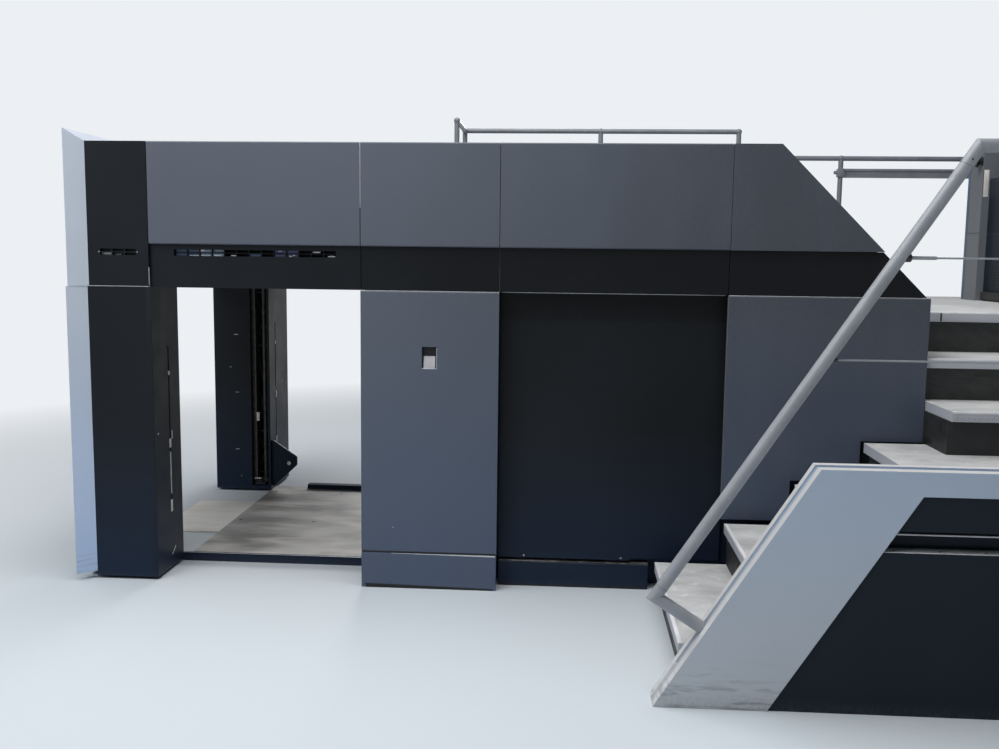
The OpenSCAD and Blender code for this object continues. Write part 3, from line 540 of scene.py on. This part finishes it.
# The edge metals serve real strips, rings and handles, and also painted highlights on edges and in seams
edge_metal = bare_metal("edge_metal", (0.62, 0.64, 0.67), metallic=0.2)
dim_edge_metal = bare_metal("dim_edge_metal", (0.16, 0.165, 0.175), metallic=0.2)
screw_steel = bare_metal("screw_steel", (0.42, 0.43, 0.44))
dark_steel = bare_metal("dark_screw_steel", (0.035, 0.037, 0.04))
rubber = plain_plastic("black_rubber", (0.012, 0.012, 0.013), (0.6, 0.8))
knob_plastic = plain_plastic("black_plastic", (0.011, 0.011, 0.012), (0.3, 0.42), worn=2.2)
ivory = plain_plastic("ivory_plastic", (0.68, 0.66, 0.63))
grip_plastic = plain_plastic("grip_plate", (0.44, 0.44, 0.46))
nosing_plastic = plain_plastic("nosing_strip", (0.7, 0.7, 0.74))
navy_sheet = plain_plastic("navy_sheet", (0.055, 0.095, 0.17))
lilac_sheet = plain_plastic("lilac_sheet", (0.08, 0.08, 0.18))
ice_sheet = plain_plastic("ice_sheet", (0.24, 0.32, 0.42))


def dress(node, material):
    obj = frame["nodes"][node]
    obj.data.materials.clear()
    obj.data.materials.append(material)


for row in frame["record"]["subparts"]:
    dress(row["node"], finishes[row["material_slot"]])
for node in ("lower_risers", "cross_base"):
    dress(node, riser_paint)
for node in ("walkway_guard", "far_guard"):
    dress(node, guard_paint_and_shade)
dress("gallery_side_frame", frame_silver)
dress("slot_grille", finishes["black_paint"])


# Portal

def portal_joint():
    """Bright strip in the joint between the portal's upper and lower parts, and a painted highlight on the
    corner column's edge.
    """
    column = Box("near_corner_column")
    upper = Box("front_trim_upper")
    low = Box("front_trim_near").top + 0.3
    high = upper.bottom - 0.3
    lip, depth = 9, 24
    outline = [
        (column.right, column.near + 0.3),
        (0, column.near + 0.3),
        (upper.left + 1, upper.near + 1),
        (upper.left + 1, upper.near + lip),
        (-4, column.near + depth),
        (column.right, column.near + depth),
    ]
    strip = Piece("portal_joint_strip")
    for side in (1, -1):
        strip.plate([(x, side * y) for x, y in outline], "z", low, high)
    # Painted highlight: a lit edge between the corner column and the band
    strip.bar(
        (column.right, column.near + 0.4, low + 8),
        (column.right + 1.1, column.near + 9, low + 96), 0.2)
    strip.lay(edge_metal)


def louvre_backing():
    """Light sheet behind the first cells of the corner column's louvre, with its two screws."""
    column = Box("near_corner_column")
    back = column.near + 23
    low, high = 1641, 1673
    sheet = Piece("louvre_backing")
    sheet.bar((62, back - 3, low + 1), (111, back, low + 13), 0.5)
    sheet.bar((125, back - 1.5, low + 1), (160, back, low + 7), 0.5)
    sheet.lay(edge_metal)
    places = [(x, column.near, (low + high) / 2) for x in (56, 249)]
    lay_screws("louvre_screws", places, TO_NEAR, 7, screw_steel)


def slot_interior():
    """What shows through the vent slots: sheets whose tones are partly painted light and shade, and painted
    highlights behind the cells.
    """
    grille = Box("slot_grille")
    pitch, row, web = 62, 14, 4
    face = grille.near + 6
    thick, play = 3, 0.4

    def cell(piece, k, upper, deep=0, inset=(2, 2), low=0.0, high=1.0):
        left = grille.left + k * pitch + web / 2
        right = left + pitch - web
        z = grille.bottom + (row + web if upper else 0)
        piece.bar(
            (left + inset[0], face + deep, z + low * row + play),
            (right - inset[1], face + deep + thick, z + high * row - play), 0.4)

    # The sheets stand in for the interior as it shows in each cell, their pale and dark tones partly painted
    # light and shade
    # Sheets: name, finish, slot, and each cell's number, whether in the upper row, and how deep
    blue_cells = ((0, True), (0, False), (1, True), (1, False), (6, False), (9, False))
    pale_cells = ((2, True), (2, False), (3, False), (3, True, 6))
    for name, material, slot, places in (
        ("slot_blue_sheets", navy_sheet, "navy_paint", blue_cells),
        ("slot_pale_sheets", ice_sheet, "grille_metal", pale_cells),
        ("slot_violet_sheets", lilac_sheet, "navy_paint", ((8, True), (8, False), (9, True))),
    ):
        sheets = Piece(name)
        for place in places:
            cell(sheets, *place)
        sheets.lay(material)
    # Painted highlights: cell, upper row, inset from its two ends, and from and to as shares of its height
    glints = [
        (1, False, 8, 2, 0.0, 0.3), (2, True, 2, 38, 0.3, 1.0), (2, False, 4, 6, 0.0, 0.3),
        (3, False, 6, 10, 0.0, 0.4), (4, False, 30, 2, 0.05, 0.5), (8, True, 20, 22, 0.6, 0.9),
        (9, False, 12, 34, 0.0, 0.45), (9, False, 30, 18, 0.4, 0.8), (11, True, 4, 16, 0.25, 0.75),
        (12, False, 18, 4, 0.1, 0.55),
    ]
    bright = Piece("slot_painted_glints")
    for k, upper, after, before, low, high in glints:
        cell(bright, k, upper, -2, (after, before), low, high)
    bright.lay(edge_metal)


def pillar_fittings():
    """Plates, the slit's inner strip, a painted highlight in the slit and the front cover's folded edge, on
    the two pillars' faces towards the pile."""
    pillar = Box("near_pillar")
    face = pillar.right
    slit_y, slit_low, slit_high = -950, 332, 1178
    slit_highlight_y = -943
    plates = Piece("pillar_switch_plates")
    dark = Piece("pillar_slit_strip")
    seam = Piece("pillar_edge_cover")

    def on_face(piece, y, z, wide, high, proud, cut=0.5):
        piece.bar(
            (face - SEAT, y - wide / 2, z - high / 2),
            (face + proud, y + wide / 2, z + high / 2), cut)

    for side in (1, -1):
        # Switch plates: middle across, middle up, width, height
        for y, z, wide, high in ((-948, 1039, 20, 21), (-953, 672, 22, 46), (-953, 340, 22, 62)):
            on_face(plates, side * y, z, wide, high, 2.2, 0.6)
        # Painted highlight: a pale bar down the slit
        plates.bar((face - 7, side * slit_highlight_y - 1, 402), (face - 0.3, side * slit_highlight_y + 1, 624), 0.3)
        mark = [(side * -966, 79), (side * -960, 78), (side * -914, 110), (side * -914, 116)]
        plates.plate(mark, "x", face - SEAT, face + 1.2)
        on_face(plates, side * -926, 712.5, 8, 45, 1.2)
        on_face(plates, side * -1101, 746, 8, 8, 1.4)
        dark.bar((face - 17, side * slit_y - 7, slit_low), (face - 12, side * slit_y + 7, slit_high), 0.5)
        for z in (slit_low - 2, slit_high + 2):
            on_face(dark, side * slit_y, z, 24, 8, 1.5)
        # Folded edge of the pillar's front cover
        low, high = sorted((side * pillar.near, side * (pillar.near - 1.4)))
        seam.bar((face - 30, low, pillar.bottom + 20), (face - 0.5, high, pillar.top - 2))
    plates.lay(ivory)
    dark.lay(rubber)
    seam.lay(finishes["black_paint"])


def pillar_screws():
    """Slotted screws on the far pillar's inner face, seen as short dashes."""
    inner = -Box("near_pillar").far
    screws = Piece("far_pillar_screws")
    for x, z, wide in ((80, 1102, 30), (38, 875, 12), (81, 699, 26), (77, 297, 28), (101, 106, 9)):
        screws.slot_screw((x, inner, z), wide)
    screws.lay(screw_steel)


def channel_gear():
    """Rungs, braces, switch and foot roller in the pillars' guide channels."""
    inner = -Box("near_pillar").far
    left, right = 178.5, 293.5
    levels = (112, 408, 1018, 1390)
    rungs = Piece("channel_rungs")
    sensor = Piece("channel_switches")
    roller = Piece("channel_foot_rollers")
    for side in (1, -1):
        deep = side * (inner + 118)
        brace_y = deep + 8 * side
        for z in levels:
            rungs.bar((left, deep - 5, z - 5), (right, deep + 5, z + 5))
        for low, high in zip(levels, levels[1:]):
            rungs.rod((left + 4, brace_y, low), (right - 4, brace_y, high), 7, 10)
            rungs.rod((right - 4, brace_y, low), (left + 4, brace_y, high), 7, 10)
        y = side * (inner + 22)
        sensor.bar((211, y - 9, 497), (231, y + 9, 557), 2)
        y = side * (inner + 16)
        sensor.bar((192, y - 3, 84), (238, y + 3, 92), 1)
        roller.rod((226, side * (inner + 24), 62), (226, side * (inner + 70), 62), 40, 24)
        y = side * (inner + 46)
        roller.bar((188, y - 30, 41), (268, y + 30, 56), 2)
    rungs.lay(finishes["spindle_steel"])
    sensor.lay(ivory)
    roller.lay(dark_steel)


def bracket_bolt():
    """Bright washer and screw on the guard bracket's bolt."""
    bolt = Piece("bracket_bolt")
    rings = [(14, -SEAT), (14, 1.6), (12, 2.4), (7, 2.6), (6, 1.2, 6)]
    bolt.turned((438, Box("guard_bracket").near, 201), TO_NEAR, rings)
    bolt.lay(ivory)


def header_screws():
    """Screws at the corners of the head's two front covers."""
    header = Box("front_header")
    margin = 45
    places = [
        (header.left, side * y, z)
        for side in (-1, 1)
        for y in (margin, header.far - margin)
        for z in (header.bottom + margin, header.top - margin)
    ]
    lay_screws("header_screws", places, TO_PORTAL, 13, dark_steel)


# Side cladding

def panel_edges():
    """Bare upper edges of the lower panels, their brightness partly a painted highlight, and painted light
    in the upper panels' seams.
    """
    recess = Box("recess_panel")
    edges = Piece("panel_top_edges")
    for panel in (Box("service_cover"), Box("stepped_panel")):
        edges.bar(
            (panel.left + 1, panel.near + 5.5, panel.top - 1),
            (panel.right - 1, panel.near + 20, panel.top + 1.4), 0.3)
    edges.bar(
        (recess.left + 2, recess.near - 2, recess.top - 3),
        (recess.right - 16, recess.near + SEAT, recess.top), 0.3)
    edges.lay(edge_metal)
    # Painted light: a pale bar where light shows through the first seam's upper part, and a dim painted line
    # in the others
    first, second, third = (Box(f"near_hood_panel_{number}") for number in (1, 2, 3))
    lay_bar(
        "seam_painted_light",
        (first.right + 0.8, first.near + 1, first.top - 310),
        (first.right + 3.2, first.near + 10, first.top - 1), 0.3, edge_metal)
    dim = Piece("seam_dim_painted_lines")
    for panel in (second, third):
        dim.bar(
            (panel.right + 2.4, panel.near + 4, panel.bottom),
            (panel.right + 4, panel.near + 20, panel.top - 2), 0.2)
    band = Box("near_band")
    dim.bar(
        (second.right + 0.6, band.near + 4, band.bottom),
        (second.right + 2.6, band.near + 10, band.top - 2), 0.2)
    dim.lay(dim_edge_metal)


def grip_plate():
    """Pale liner of the grip pocket: the leaning pull plate's face, thin rims, and a dark sheet above as
    painted shade for the pocket's depth.
    """
    left, right = 1657, 1731
    low, high = 1107, 1215
    plate_top = low + 62
    front = Box("service_cover").near
    back = front + 22
    liner = Piece("grip_liner")
    lean = [(front + 2, low + 1), (front + 15, plate_top), (front + 17, plate_top), (front + 4, low + 1)]
    liner.plate(lean, "x", left + 9, right - 9, 0.4)
    liner.lay(grip_plastic)
    rims = Piece("grip_rims")
    rims.bar((right - 1.8, front + 0.5, low), (right, back, high - 6), 0.3)
    rims.bar((left, front + 0.5, low), (right, back, low + 2.4), 0.3)
    rims.lay(edge_metal)
    # Painted shade: a dark sheet at the back of the pocket above the plate
    lay_bar(
        "grip_back_painted_shade", (left + 2, back, plate_top + 1), (right - 2, back + 2.6, high - 2), 0.4,
        rubber)


def cover_fittings():
    """Kick panel's joint with a painted shadow strip and a painted highlight on its edge, a painted shadow
    strip along the floor, and a chip in the paint.
    """
    cover = Box("service_cover")
    kick = Box("kick_panel")
    # Painted highlight on the panel's upper edge, widening to the right, as the panel leans out a little
    # that way
    start, end = kick.left + 150, kick.right - 3
    wedge = [(start, kick.top - 4.6), (end, kick.top - 10.5), (end, kick.top - 2.6), (start, kick.top - 3.8)]
    lit = Piece("kick_joint_edge")
    lit.plate(wedge, "y", kick.near - 0.7, kick.near + 2.5, 0.2)
    lit.bar((1513, cover.near - 0.4, 309), (1518, cover.near + SEAT, 313), 0.2)
    lit.lay(edge_metal)
    # Painted shadow: a dark strip along the cover's lower edge, in the joint
    lay_bar(
        "kick_joint_painted_shadow",
        (kick.left + 2, cover.near - 0.5, kick.top + 1),
        (kick.right - 2, cover.near + 4, kick.top + 7.5), 0.3, rubber)
    # Painted shadow: a dark strip along the floor under the panel
    seal = Piece("kick_floor_painted_shadow")
    foot = [(kick.left + 26, 0), (kick.right - 14, 0), (kick.right - 14, 9), (kick.left + 14, 21)]
    seal.plate(foot, "y", kick.near - 0.8, kick.near + SEAT)
    seal.lay(rubber)


def recess_fittings():
    """Screws under the black panel, the walked-off sill over the plinth and the plinth's seal."""
    plinth = Box("base_plinth")
    face = Box("recess_panel").near
    lay_screws("recess_screws", [(x, face, 159) for x in (2165, 2652)], TO_NEAR, 11, screw_steel)
    sill = Piece("plinth_sill")
    # The sill's second length is a little thicker
    joint = 2699
    for start, end, thick in ((plinth.left + 2, joint, 5), (joint, plinth.right - 2, 7)):
        sill.bar(
            (start, plinth.near + 2, plinth.top - SEAT),
            (end, plinth.near + 60, plinth.top + thick), 1.0)
    sill.lay(sill_paint)
    lay_bar(
        "plinth_seal", (plinth.left, plinth.near - 3, 0), (plinth.right, plinth.near + SEAT, 9), 1.0,
        rubber)


def stepped_edge():
    """Folded vertical edge of the stepped panel, painted a little paler than its face as a painted
    highlight.
    """
    stepped = Box("stepped_panel")
    lay_bar(
        "stepped_panel_painted_highlight",
        (stepped.left - 1.2, stepped.near + 2, stepped.bottom),
        (stepped.left + SEAT, stepped.far, stepped.top - 8), 0.4, dim_edge_metal)


# Pile well

def well_fittings():
    """Bright edges of the floor plate and the stop bar, and the plate's countersunk screws."""
    plate = Box("pile_floor_plates")
    stop = Box("pallet_stop")
    plate_joint = 315
    edges = Piece("well_bright_edges")
    edges.bar((plate_joint - 0.2, -780, 11.6), (plate_joint + 4, plate.far - 4, 12.7), 0.3)
    edges.bar((302, stop.near + 0.5, 44.6), (stop.right - 24, stop.near + 5, 46), 0.3)
    edges.lay(edge_metal)
    screws = Piece("floor_plate_screws")
    rings = [(11, -SEAT), (11, 0.5), (9, 0.7), (5, 0.7), (4.6, 0.1, 6)]
    for x in (360, 820, 1300):
        for y in (-740, 0, 760):
            screws.turned((x, y, 12), UP, rings)
    screws.lay(dark_steel)


# Stairs and gallery

def nosings():
    """Pale nosing profiles along the front edges of treads, cross treads and platform."""
    treads = Box("lower_treads")
    cross = Box("cross_treads")
    platform = Box("cross_platform")
    rise, going, cross_going = 200, 323, 360
    first_tread, first_cross = treads.bottom + 45, 1000
    strips = Piece("tread_nosings")
    for k in range(3):
        x, z = treads.left + k * going, first_tread + k * rise
        strips.bar((x - 0.6, treads.near + 2, z - 9), (x + 3, treads.far - 2, z + 0.5), 0.5)
        strips.bar((x - 0.6, treads.near + 2, z - 0.5), (x + 14, treads.far - 2, z + 1.2), 0.5)
    for k in range(2):
        y, z = cross.near + k * cross_going, first_cross + k * rise
        strips.bar((cross.left + 2, y - 0.6, z - 8), (cross.right - 2, y + 3, z + 0.5), 0.5)
        strips.bar((cross.left + 2, y - 0.6, z - 0.5), (cross.right - 2, y + 12, z + 1.2), 0.5)
    strips.lay(nosing_plastic)
    # The platform's nosing is deeper and comes in two lengths with a gap
    gap, near = 4251, platform.near
    front = Piece("platform_nosing_front")
    lip = Piece("platform_nosing_lip")
    for left, right in ((platform.left + 2, gap - 4), (gap + 4, platform.right - 2)):
        front.bar((left, near - 1, platform.bottom + 2), (right, near + 3, platform.top - 3), 0.8)
        lip.bar((left, near - 1.4, platform.top - 4), (right, near + 26, platform.top + 2), 0.8)
    front.lay(finishes["tread_metal"])
    lip.lay(nosing_plastic)
    lay_bar(
        "platform_nosing_gap",
        (gap - 4, near - 0.6, platform.bottom + 2),
        (gap + 4, near + SEAT, platform.top - 1), 0.2, rubber)
    places = [(gap + x, near - 0.5, platform.top - 16) for x in (0, 340, 680)]
    lay_screws("platform_nosing_screws", places, TO_NEAR, 9, dark_steel)


def rail_fittings():
    """Joint rings and screw on the handrail, its posts' feet, and the knee rods' clamps and sleeves."""
    side_frame = Box("gallery_side_frame")
    rail = Box("handrail")
    posts = (rail.right - 24, rail.right - 1224)
    y = side_frame.near + 66
    elbow = Vector((2706, y, 401))
    bend = Vector((3777, y, 2057))
    climb = (bend - elbow).normalized()
    # How far the sloped rail runs along the press for each millimetre that it climbs
    lean = 0.647
    d = 48
    r = d / 2
    rings = Piece("rail_joint_rings")
    for place, way in (
        (elbow + climb * 44, climb),
        (bend - climb * 80, climb),
        (bend + Vector((60, 0, 0)), Vector((1, 0, 0))),
    ):
        profile = [(r - 0.5, 0), (r + 0.5, 0.5), (r + 0.5, 2.5), (r - 0.5, 3)]
        rings.turned(place - way * 1.5, way, profile, 32)
    rings.lay(dim_edge_metal)
    place = bend - climb * 58 + Vector((0, -r + 0.6, 0))
    lay_screws("rail_screws", [place], TO_NEAR, 7, dark_steel)
    clamps = Piece("knee_rod_clamps")
    sleeves = Piece("knee_rod_sleeves")
    # Each rod's height, its clamp on the rail, and how far a sleeve reaches along it
    for z, clamp_d, sleeve in ((1667, 30, 100), (1300, 18, 0)):
        x = elbow.x + lean * (z - elbow.z) + r + 4
        clamps.rod((x - 12, y, z), (x + 12, y, z), clamp_d)
        if sleeve:
            sleeves.rod((x + 11, y, z), (x + sleeve, y, z), 13)
        for post in posts:
            clamps.rod((post - 34, y, z), (post - 22, y, z), 18)
    clamps.lay(dark_steel)
    sleeves.lay(finishes["tube_paint"])
    feet = Piece("rail_post_feet")
    profile = [(21, 0), (21, 9), (r + 6, 9), (r + 5, 13), (r - 1, 14)]
    for post in posts:
        feet.turned((post, y, side_frame.top - 8), UP, profile, 32)
    feet.lay(finishes["tube_paint"])


def cladding_ledge():
    """Worn metal strip with small screws on the navy lower panel's ledge, a painted highlight on its front
    edge, and a painted highlight on the slat's edge.
    """
    cladding = Box("gallery_cladding")
    # Where the side frame's sloped border would meet the floor, and how far it leans
    foot, lean = 3121, 0.6283
    ledge, slat = 613, 666
    start = foot + lean * ledge + 6
    end = cladding.right - 2
    near = cladding.near + 2
    lay_bar(
        "cladding_ledge_strip", (start, near, ledge - SEAT), (end, near + 62, ledge + 2), 0.6,
        finishes["grille_metal"])
    # Painted highlight along the ledge's front edge
    lay_bar(
        "cladding_ledge_painted_highlight", (start + 1, near - 0.6, ledge - 3), (end, near + 3, ledge + 2.4), 0.4,
        edge_metal)
    count = 18
    step = (cladding.right - start - 80) / (count - 1)
    places = [(start + 40 + k * step, near + 18, ledge + 2) for k in range(count)]
    lay_screws("cladding_ledge_screws", places, UP, 9, dark_steel)
    # Painted highlight along the slat's upper edge
    lay_bar(
        "cladding_slat_painted_highlight",
        (foot + lean * slat + 4, cladding.near + 61.4, slat - 4),
        (end, cladding.near + 77, slat + 1.4), 0.4, edge_metal)


# Cabinet, unit and guards

def cabinet_fittings():
    """Navy edge strip, knob and bare plate on the cabinet at the unit's far corner."""
    cabinet = Box("corner_cabinet")
    left = cabinet.left
    lay_bar(
        "cabinet_edge_strip",
        (left - 1.5, cabinet.far - 50, cabinet.bottom + 20),
        (left + SEAT, cabinet.far - 15, cabinet.top - 40), 0.6, navy_sheet)
    knob = Piece("cabinet_knob")
    rings = [(30, -SEAT), (30, 6), (24, 8), (22, 20), (36, 24), (40, 34), (38, 44), (24, 50)]
    knob.turned((left, cabinet.near + 34, 2332), TO_PORTAL, rings, 32)
    knob.lay(knob_plastic)
    lay_bar(
        "cabinet_bare_plate",
        (left + 8, cabinet.near - 1.6, 2096),
        (left + 40, cabinet.near + SEAT, 2274), 0.6, ivory)


def unit_front():
    """Dark covers on the unit's face towards the platform, with a louvre and a black foot."""
    cabinet = Box("corner_cabinet")
    face = cabinet.left + 52
    near = Box("unit_body").near + 60
    panels = Piece("unit_front_covers")
    for low, high in ((1465, 1845), (1851, 2214)):
        panels.bar((face - 4, near, low), (face + SEAT, cabinet.near - 3, high), 1.2)
    panels.lay(finishes["navy_paint"])
    lay_bar(
        "unit_front_foot", (face - 22, near, 1410), (face + SEAT, cabinet.near - 8, 1460), 3,
        rubber)
    louvre = Piece("unit_louvre")
    blades, pitch, long, thick = 12, 10, 240, 3
    for k in range(blades):
        z = 1497 + k * pitch
        for y in (660, -760):
            blade = [(y, z), (y + long, z), (y + long, z + thick), (y, z + thick)]
            louvre.plate(blade, "x", face - 8, face - 3.8, 0.4)
    louvre.lay(dark_steel)


def unit_side():
    """Handle and screws on the unit's covers towards the gallery."""
    unit = Box("unit_body")
    left, right = 5220, 6310
    low, high = 830, 2220
    y = unit.near
    places = [
        (x, y, z)
        for x in (left + 60, (left + right) / 2, right - 60)
        for z in (low + 60, (low + high) / 2)
    ]
    places += [(x, y, unit.top - 90) for x in (left + 240, right - 240)]
    lay_screws("unit_cover_screws", places, TO_NEAR, 14, screw_steel)
    x, z, long = left + 140, 1500, 220
    grip_y = y - 14
    handle = Piece("unit_cover_handle")
    handle.rod((x, grip_y, z - long / 2), (x, grip_y, z + long / 2), 16, 24)
    for end in (z - long / 2 + 16, z + long / 2 - 16):
        handle.rod((x, grip_y, end), (x, y + SEAT, end), 13)
        handle.turned((x, y, end), TO_NEAR, [(13, -SEAT), (13, 2), (9, 4)])
    handle.lay(edge_metal)


def guard_fittings():
    """Clamps on the guards' posts and board, bolts in their flanges and on the walkway's legs."""
    guard = Box("far_guard")
    walkway = Box("walkway_guard")
    y = (guard.near + guard.far) / 2
    board = 4378
    platform_floor, walkway_floor = 1400, Box("far_walkway").top
    clamps = Piece("guard_clamps")
    clamps.bar((board - 26, y - 25, 2278), (board + 26, y + 20, 2340), 4)
    clamps.rod((board - 48, y, 2312), (board - 24, y, 2312), 26)
    for x in ((board + guard.right) / 2, guard.right - 24):
        clamps.bar((x - 22, y - 22, 2280), (x + 22, y + 18, 2336), 4)
    clamps.lay(guard_paint_and_shade)
    lips = Piece("guard_board_lips")
    lips.bar((board + 26, y - 12, 2322), (guard.right - 24, y + 6, 2340.5), 2)
    lips.bar((board + 26, y - 10, 2273.5), (guard.right - 24, y + 6, 2280), 2)
    lips.lay(guard_paint_and_shade)
    start, end = walkway.left + 22, walkway.right - 22
    feet = [(x, walkway_floor) for x in (start, (start + end) / 2, end)]
    start, end = guard.left + 22, guard.right - 22
    feet += [(x, platform_floor) for x in (start, board, (board + end) / 2, end)]
    bolts = Piece("guard_bolts")
    for x, floor in feet:
        bolts.turned((x, y, floor + 8), UP, [(21, -SEAT), (20, 2), (19.5, 5)])
    bolts.lay(screw_steel)
    anchors = Piece("leg_anchor_bolts")
    leg_y, half = y - 82, 62
    for x in (1602, 2592, 3582, 3942, 5300, 6230):
        for dx in (-half, half):
            for dy in (-half, half):
                anchors.bolt((x + dx, leg_y + dy, 12), UP, 18)
    anchors.lay(screw_steel)


def top_screws():
    """Screws along the covers on the hood's top."""
    top = Box("top_covers")
    joints = (0, 1356, 2032, 3124)
    margin = 60
    places = [
        (x, y, top.top)
        for left, right in zip(joints, joints[1:])
        for x in (left + margin, right - margin)
        for y in (top.near + margin, 0, top.far - margin)
    ]
    lay_screws("top_cover_screws", places, UP, 14, dark_steel)


def far_side_fittings():
    """Screws on the plain panels of the far side."""
    panels = Box("far_side_panels")
    # Each panel's two ends, and how deep it is set back
    ends = ((1356, 2032, 0), (3124, 4058, 0), (2036, 3120, 82))
    places = [
        (x, panels.far - depth, z)
        for left, right, depth in ends
        for x in (left + 40, right - 40)
        for z in (60, 770, 1430)
    ]
    lay_screws("far_panel_screws", places, TO_FAR, 12, dark_steel)


portal_joint()
louvre_backing()
slot_interior()
pillar_fittings()
pillar_screws()
channel_gear()
bracket_bolt()
header_screws()
panel_edges()
grip_plate()
cover_fittings()
recess_fittings()
stepped_edge()
well_fittings()
nosings()
rail_fittings()
cladding_ledge()
cabinet_fittings()
unit_front()
unit_side()
guard_fittings()
top_screws()
far_side_fittings()


# Camera at the photograph's place: solved from the press's own upright, long and cross edges

SENSOR_WIDTH = 36
FOCAL_PIXELS, IMAGE_PIXELS = 995.1, 999
CAMERA_PLACE = Vector((-0.7805, -5.641, 1.650))
CAMERA_YAW = math.radians(-3.728)
CAMERA_PITCH = math.radians(6.687)
CAMERA_ROLL = math.radians(0.691)


def add_camera():
    data = bpy.data.cameras.new("camera")
    data.sensor_fit = "HORIZONTAL"
    data.sensor_width = SENSOR_WIDTH
    data.lens = SENSOR_WIDTH * FOCAL_PIXELS / IMAGE_PIXELS
    camera = bpy.data.objects.new("camera", data)
    place = Matrix.Translation(CAMERA_PLACE)
    yaw = Matrix.Rotation(-CAMERA_YAW, 4, "Z")
    pitch = Matrix.Rotation(math.pi / 2 - CAMERA_PITCH, 4, "X")
    roll = Matrix.Rotation(CAMERA_ROLL, 4, "Z")
    camera.matrix_world = place @ yaw @ pitch @ roll
    bpy.context.scene.collection.objects.link(camera)
    bpy.context.scene.camera = camera


# Floor, sky and lamps

BACKGROUND = (0.84, 0.87, 0.9)


def add_floor():
    """A grey floor that keeps shadows and fades into the background away from the press."""
    reach = 60
    fade_start, fade_end = 3.6, 8.0
    mesh = bpy.data.meshes.new("floor")
    corners = [(-reach, -reach, 0), (reach, -reach, 0), (reach, reach, 0), (-reach, reach, 0)]
    mesh.from_pydata(corners, [], [(0, 1, 2, 3)])
    floor = bpy.data.objects.new("floor", mesh)
    floor.location.z = -0.5 * MM
    bpy.context.scene.collection.objects.link(floor)
    s = Shader("floor")
    s.finish((0.56, 0.61, 0.66), 0.6)
    away = s.add("VectorMath", "Value", {0: s.place}, operation="LENGTH")
    glow = s.add("Emission", "Emission", {"Color": BACKGROUND})
    fade = s.span(away, fade_start, fade_end)
    surface = s.add("MixShader", "Shader", {0: fade, 1: s.bsdf.outputs["BSDF"], 2: glow})
    s.link(surface, s.nodes["Material Output"].inputs["Surface"])
    mesh.materials.append(s.material)


def add_sky():
    """A dim sky for light, and the plain background where the camera sees it."""
    world = bpy.data.worlds.new("sky")
    bpy.context.scene.world = world
    world.use_nodes = True
    nodes = world.node_tree.nodes
    links = world.node_tree.links
    lit = nodes["Background"]
    lit.inputs["Color"].default_value = (0.93, 0.96, 1.0, 1)
    lit.inputs["Strength"].default_value = 0.18
    seen = nodes.new("ShaderNodeBackground")
    seen.inputs["Color"].default_value = (*BACKGROUND, 1)
    seen.inputs["Strength"].default_value = 1.0
    path = nodes.new("ShaderNodeLightPath")
    mix = nodes.new("ShaderNodeMixShader")
    links.new(path.outputs["Is Camera Ray"], mix.inputs[0])
    links.new(lit.outputs[0], mix.inputs[1])
    links.new(seen.outputs[0], mix.inputs[2])
    links.new(mix.outputs[0], nodes["World Output"].inputs["Surface"])


def add_lamp(name, place, target, size, power, colour=(1, 1, 1), spread=180):
    data = bpy.data.lights.new(name, "AREA")
    data.shape = "RECTANGLE"
    data.size, data.size_y = size
    data.energy = power
    data.color = colour
    data.spread = math.radians(spread)
    lamp = bpy.data.objects.new(name, data)
    lamp.location = place
    lamp.rotation_euler = (Vector(target) - Vector(place)).to_track_quat("-Z", "Y").to_euler()
    bpy.context.scene.collection.objects.link(lamp)


add_camera()
add_floor()
add_sky()
add_lamp("ceiling", (-2.0, -1.4, 6.5), (-1.2, -0.8, 0), (6, 6), 510, (1.0, 0.99, 0.97))
add_lamp("left_front", (-4.4, -4.6, 5.0), (-1.8, -1.0, 1.2), (3, 3), 100, (0.95, 0.98, 1.0))
add_lamp("back", (-1.6, 6.6, 3.6), (-2.2, 0, 0.5), (3, 2), 34, spread=70)

scene = bpy.context.scene
scene.view_settings.view_transform = "Standard"
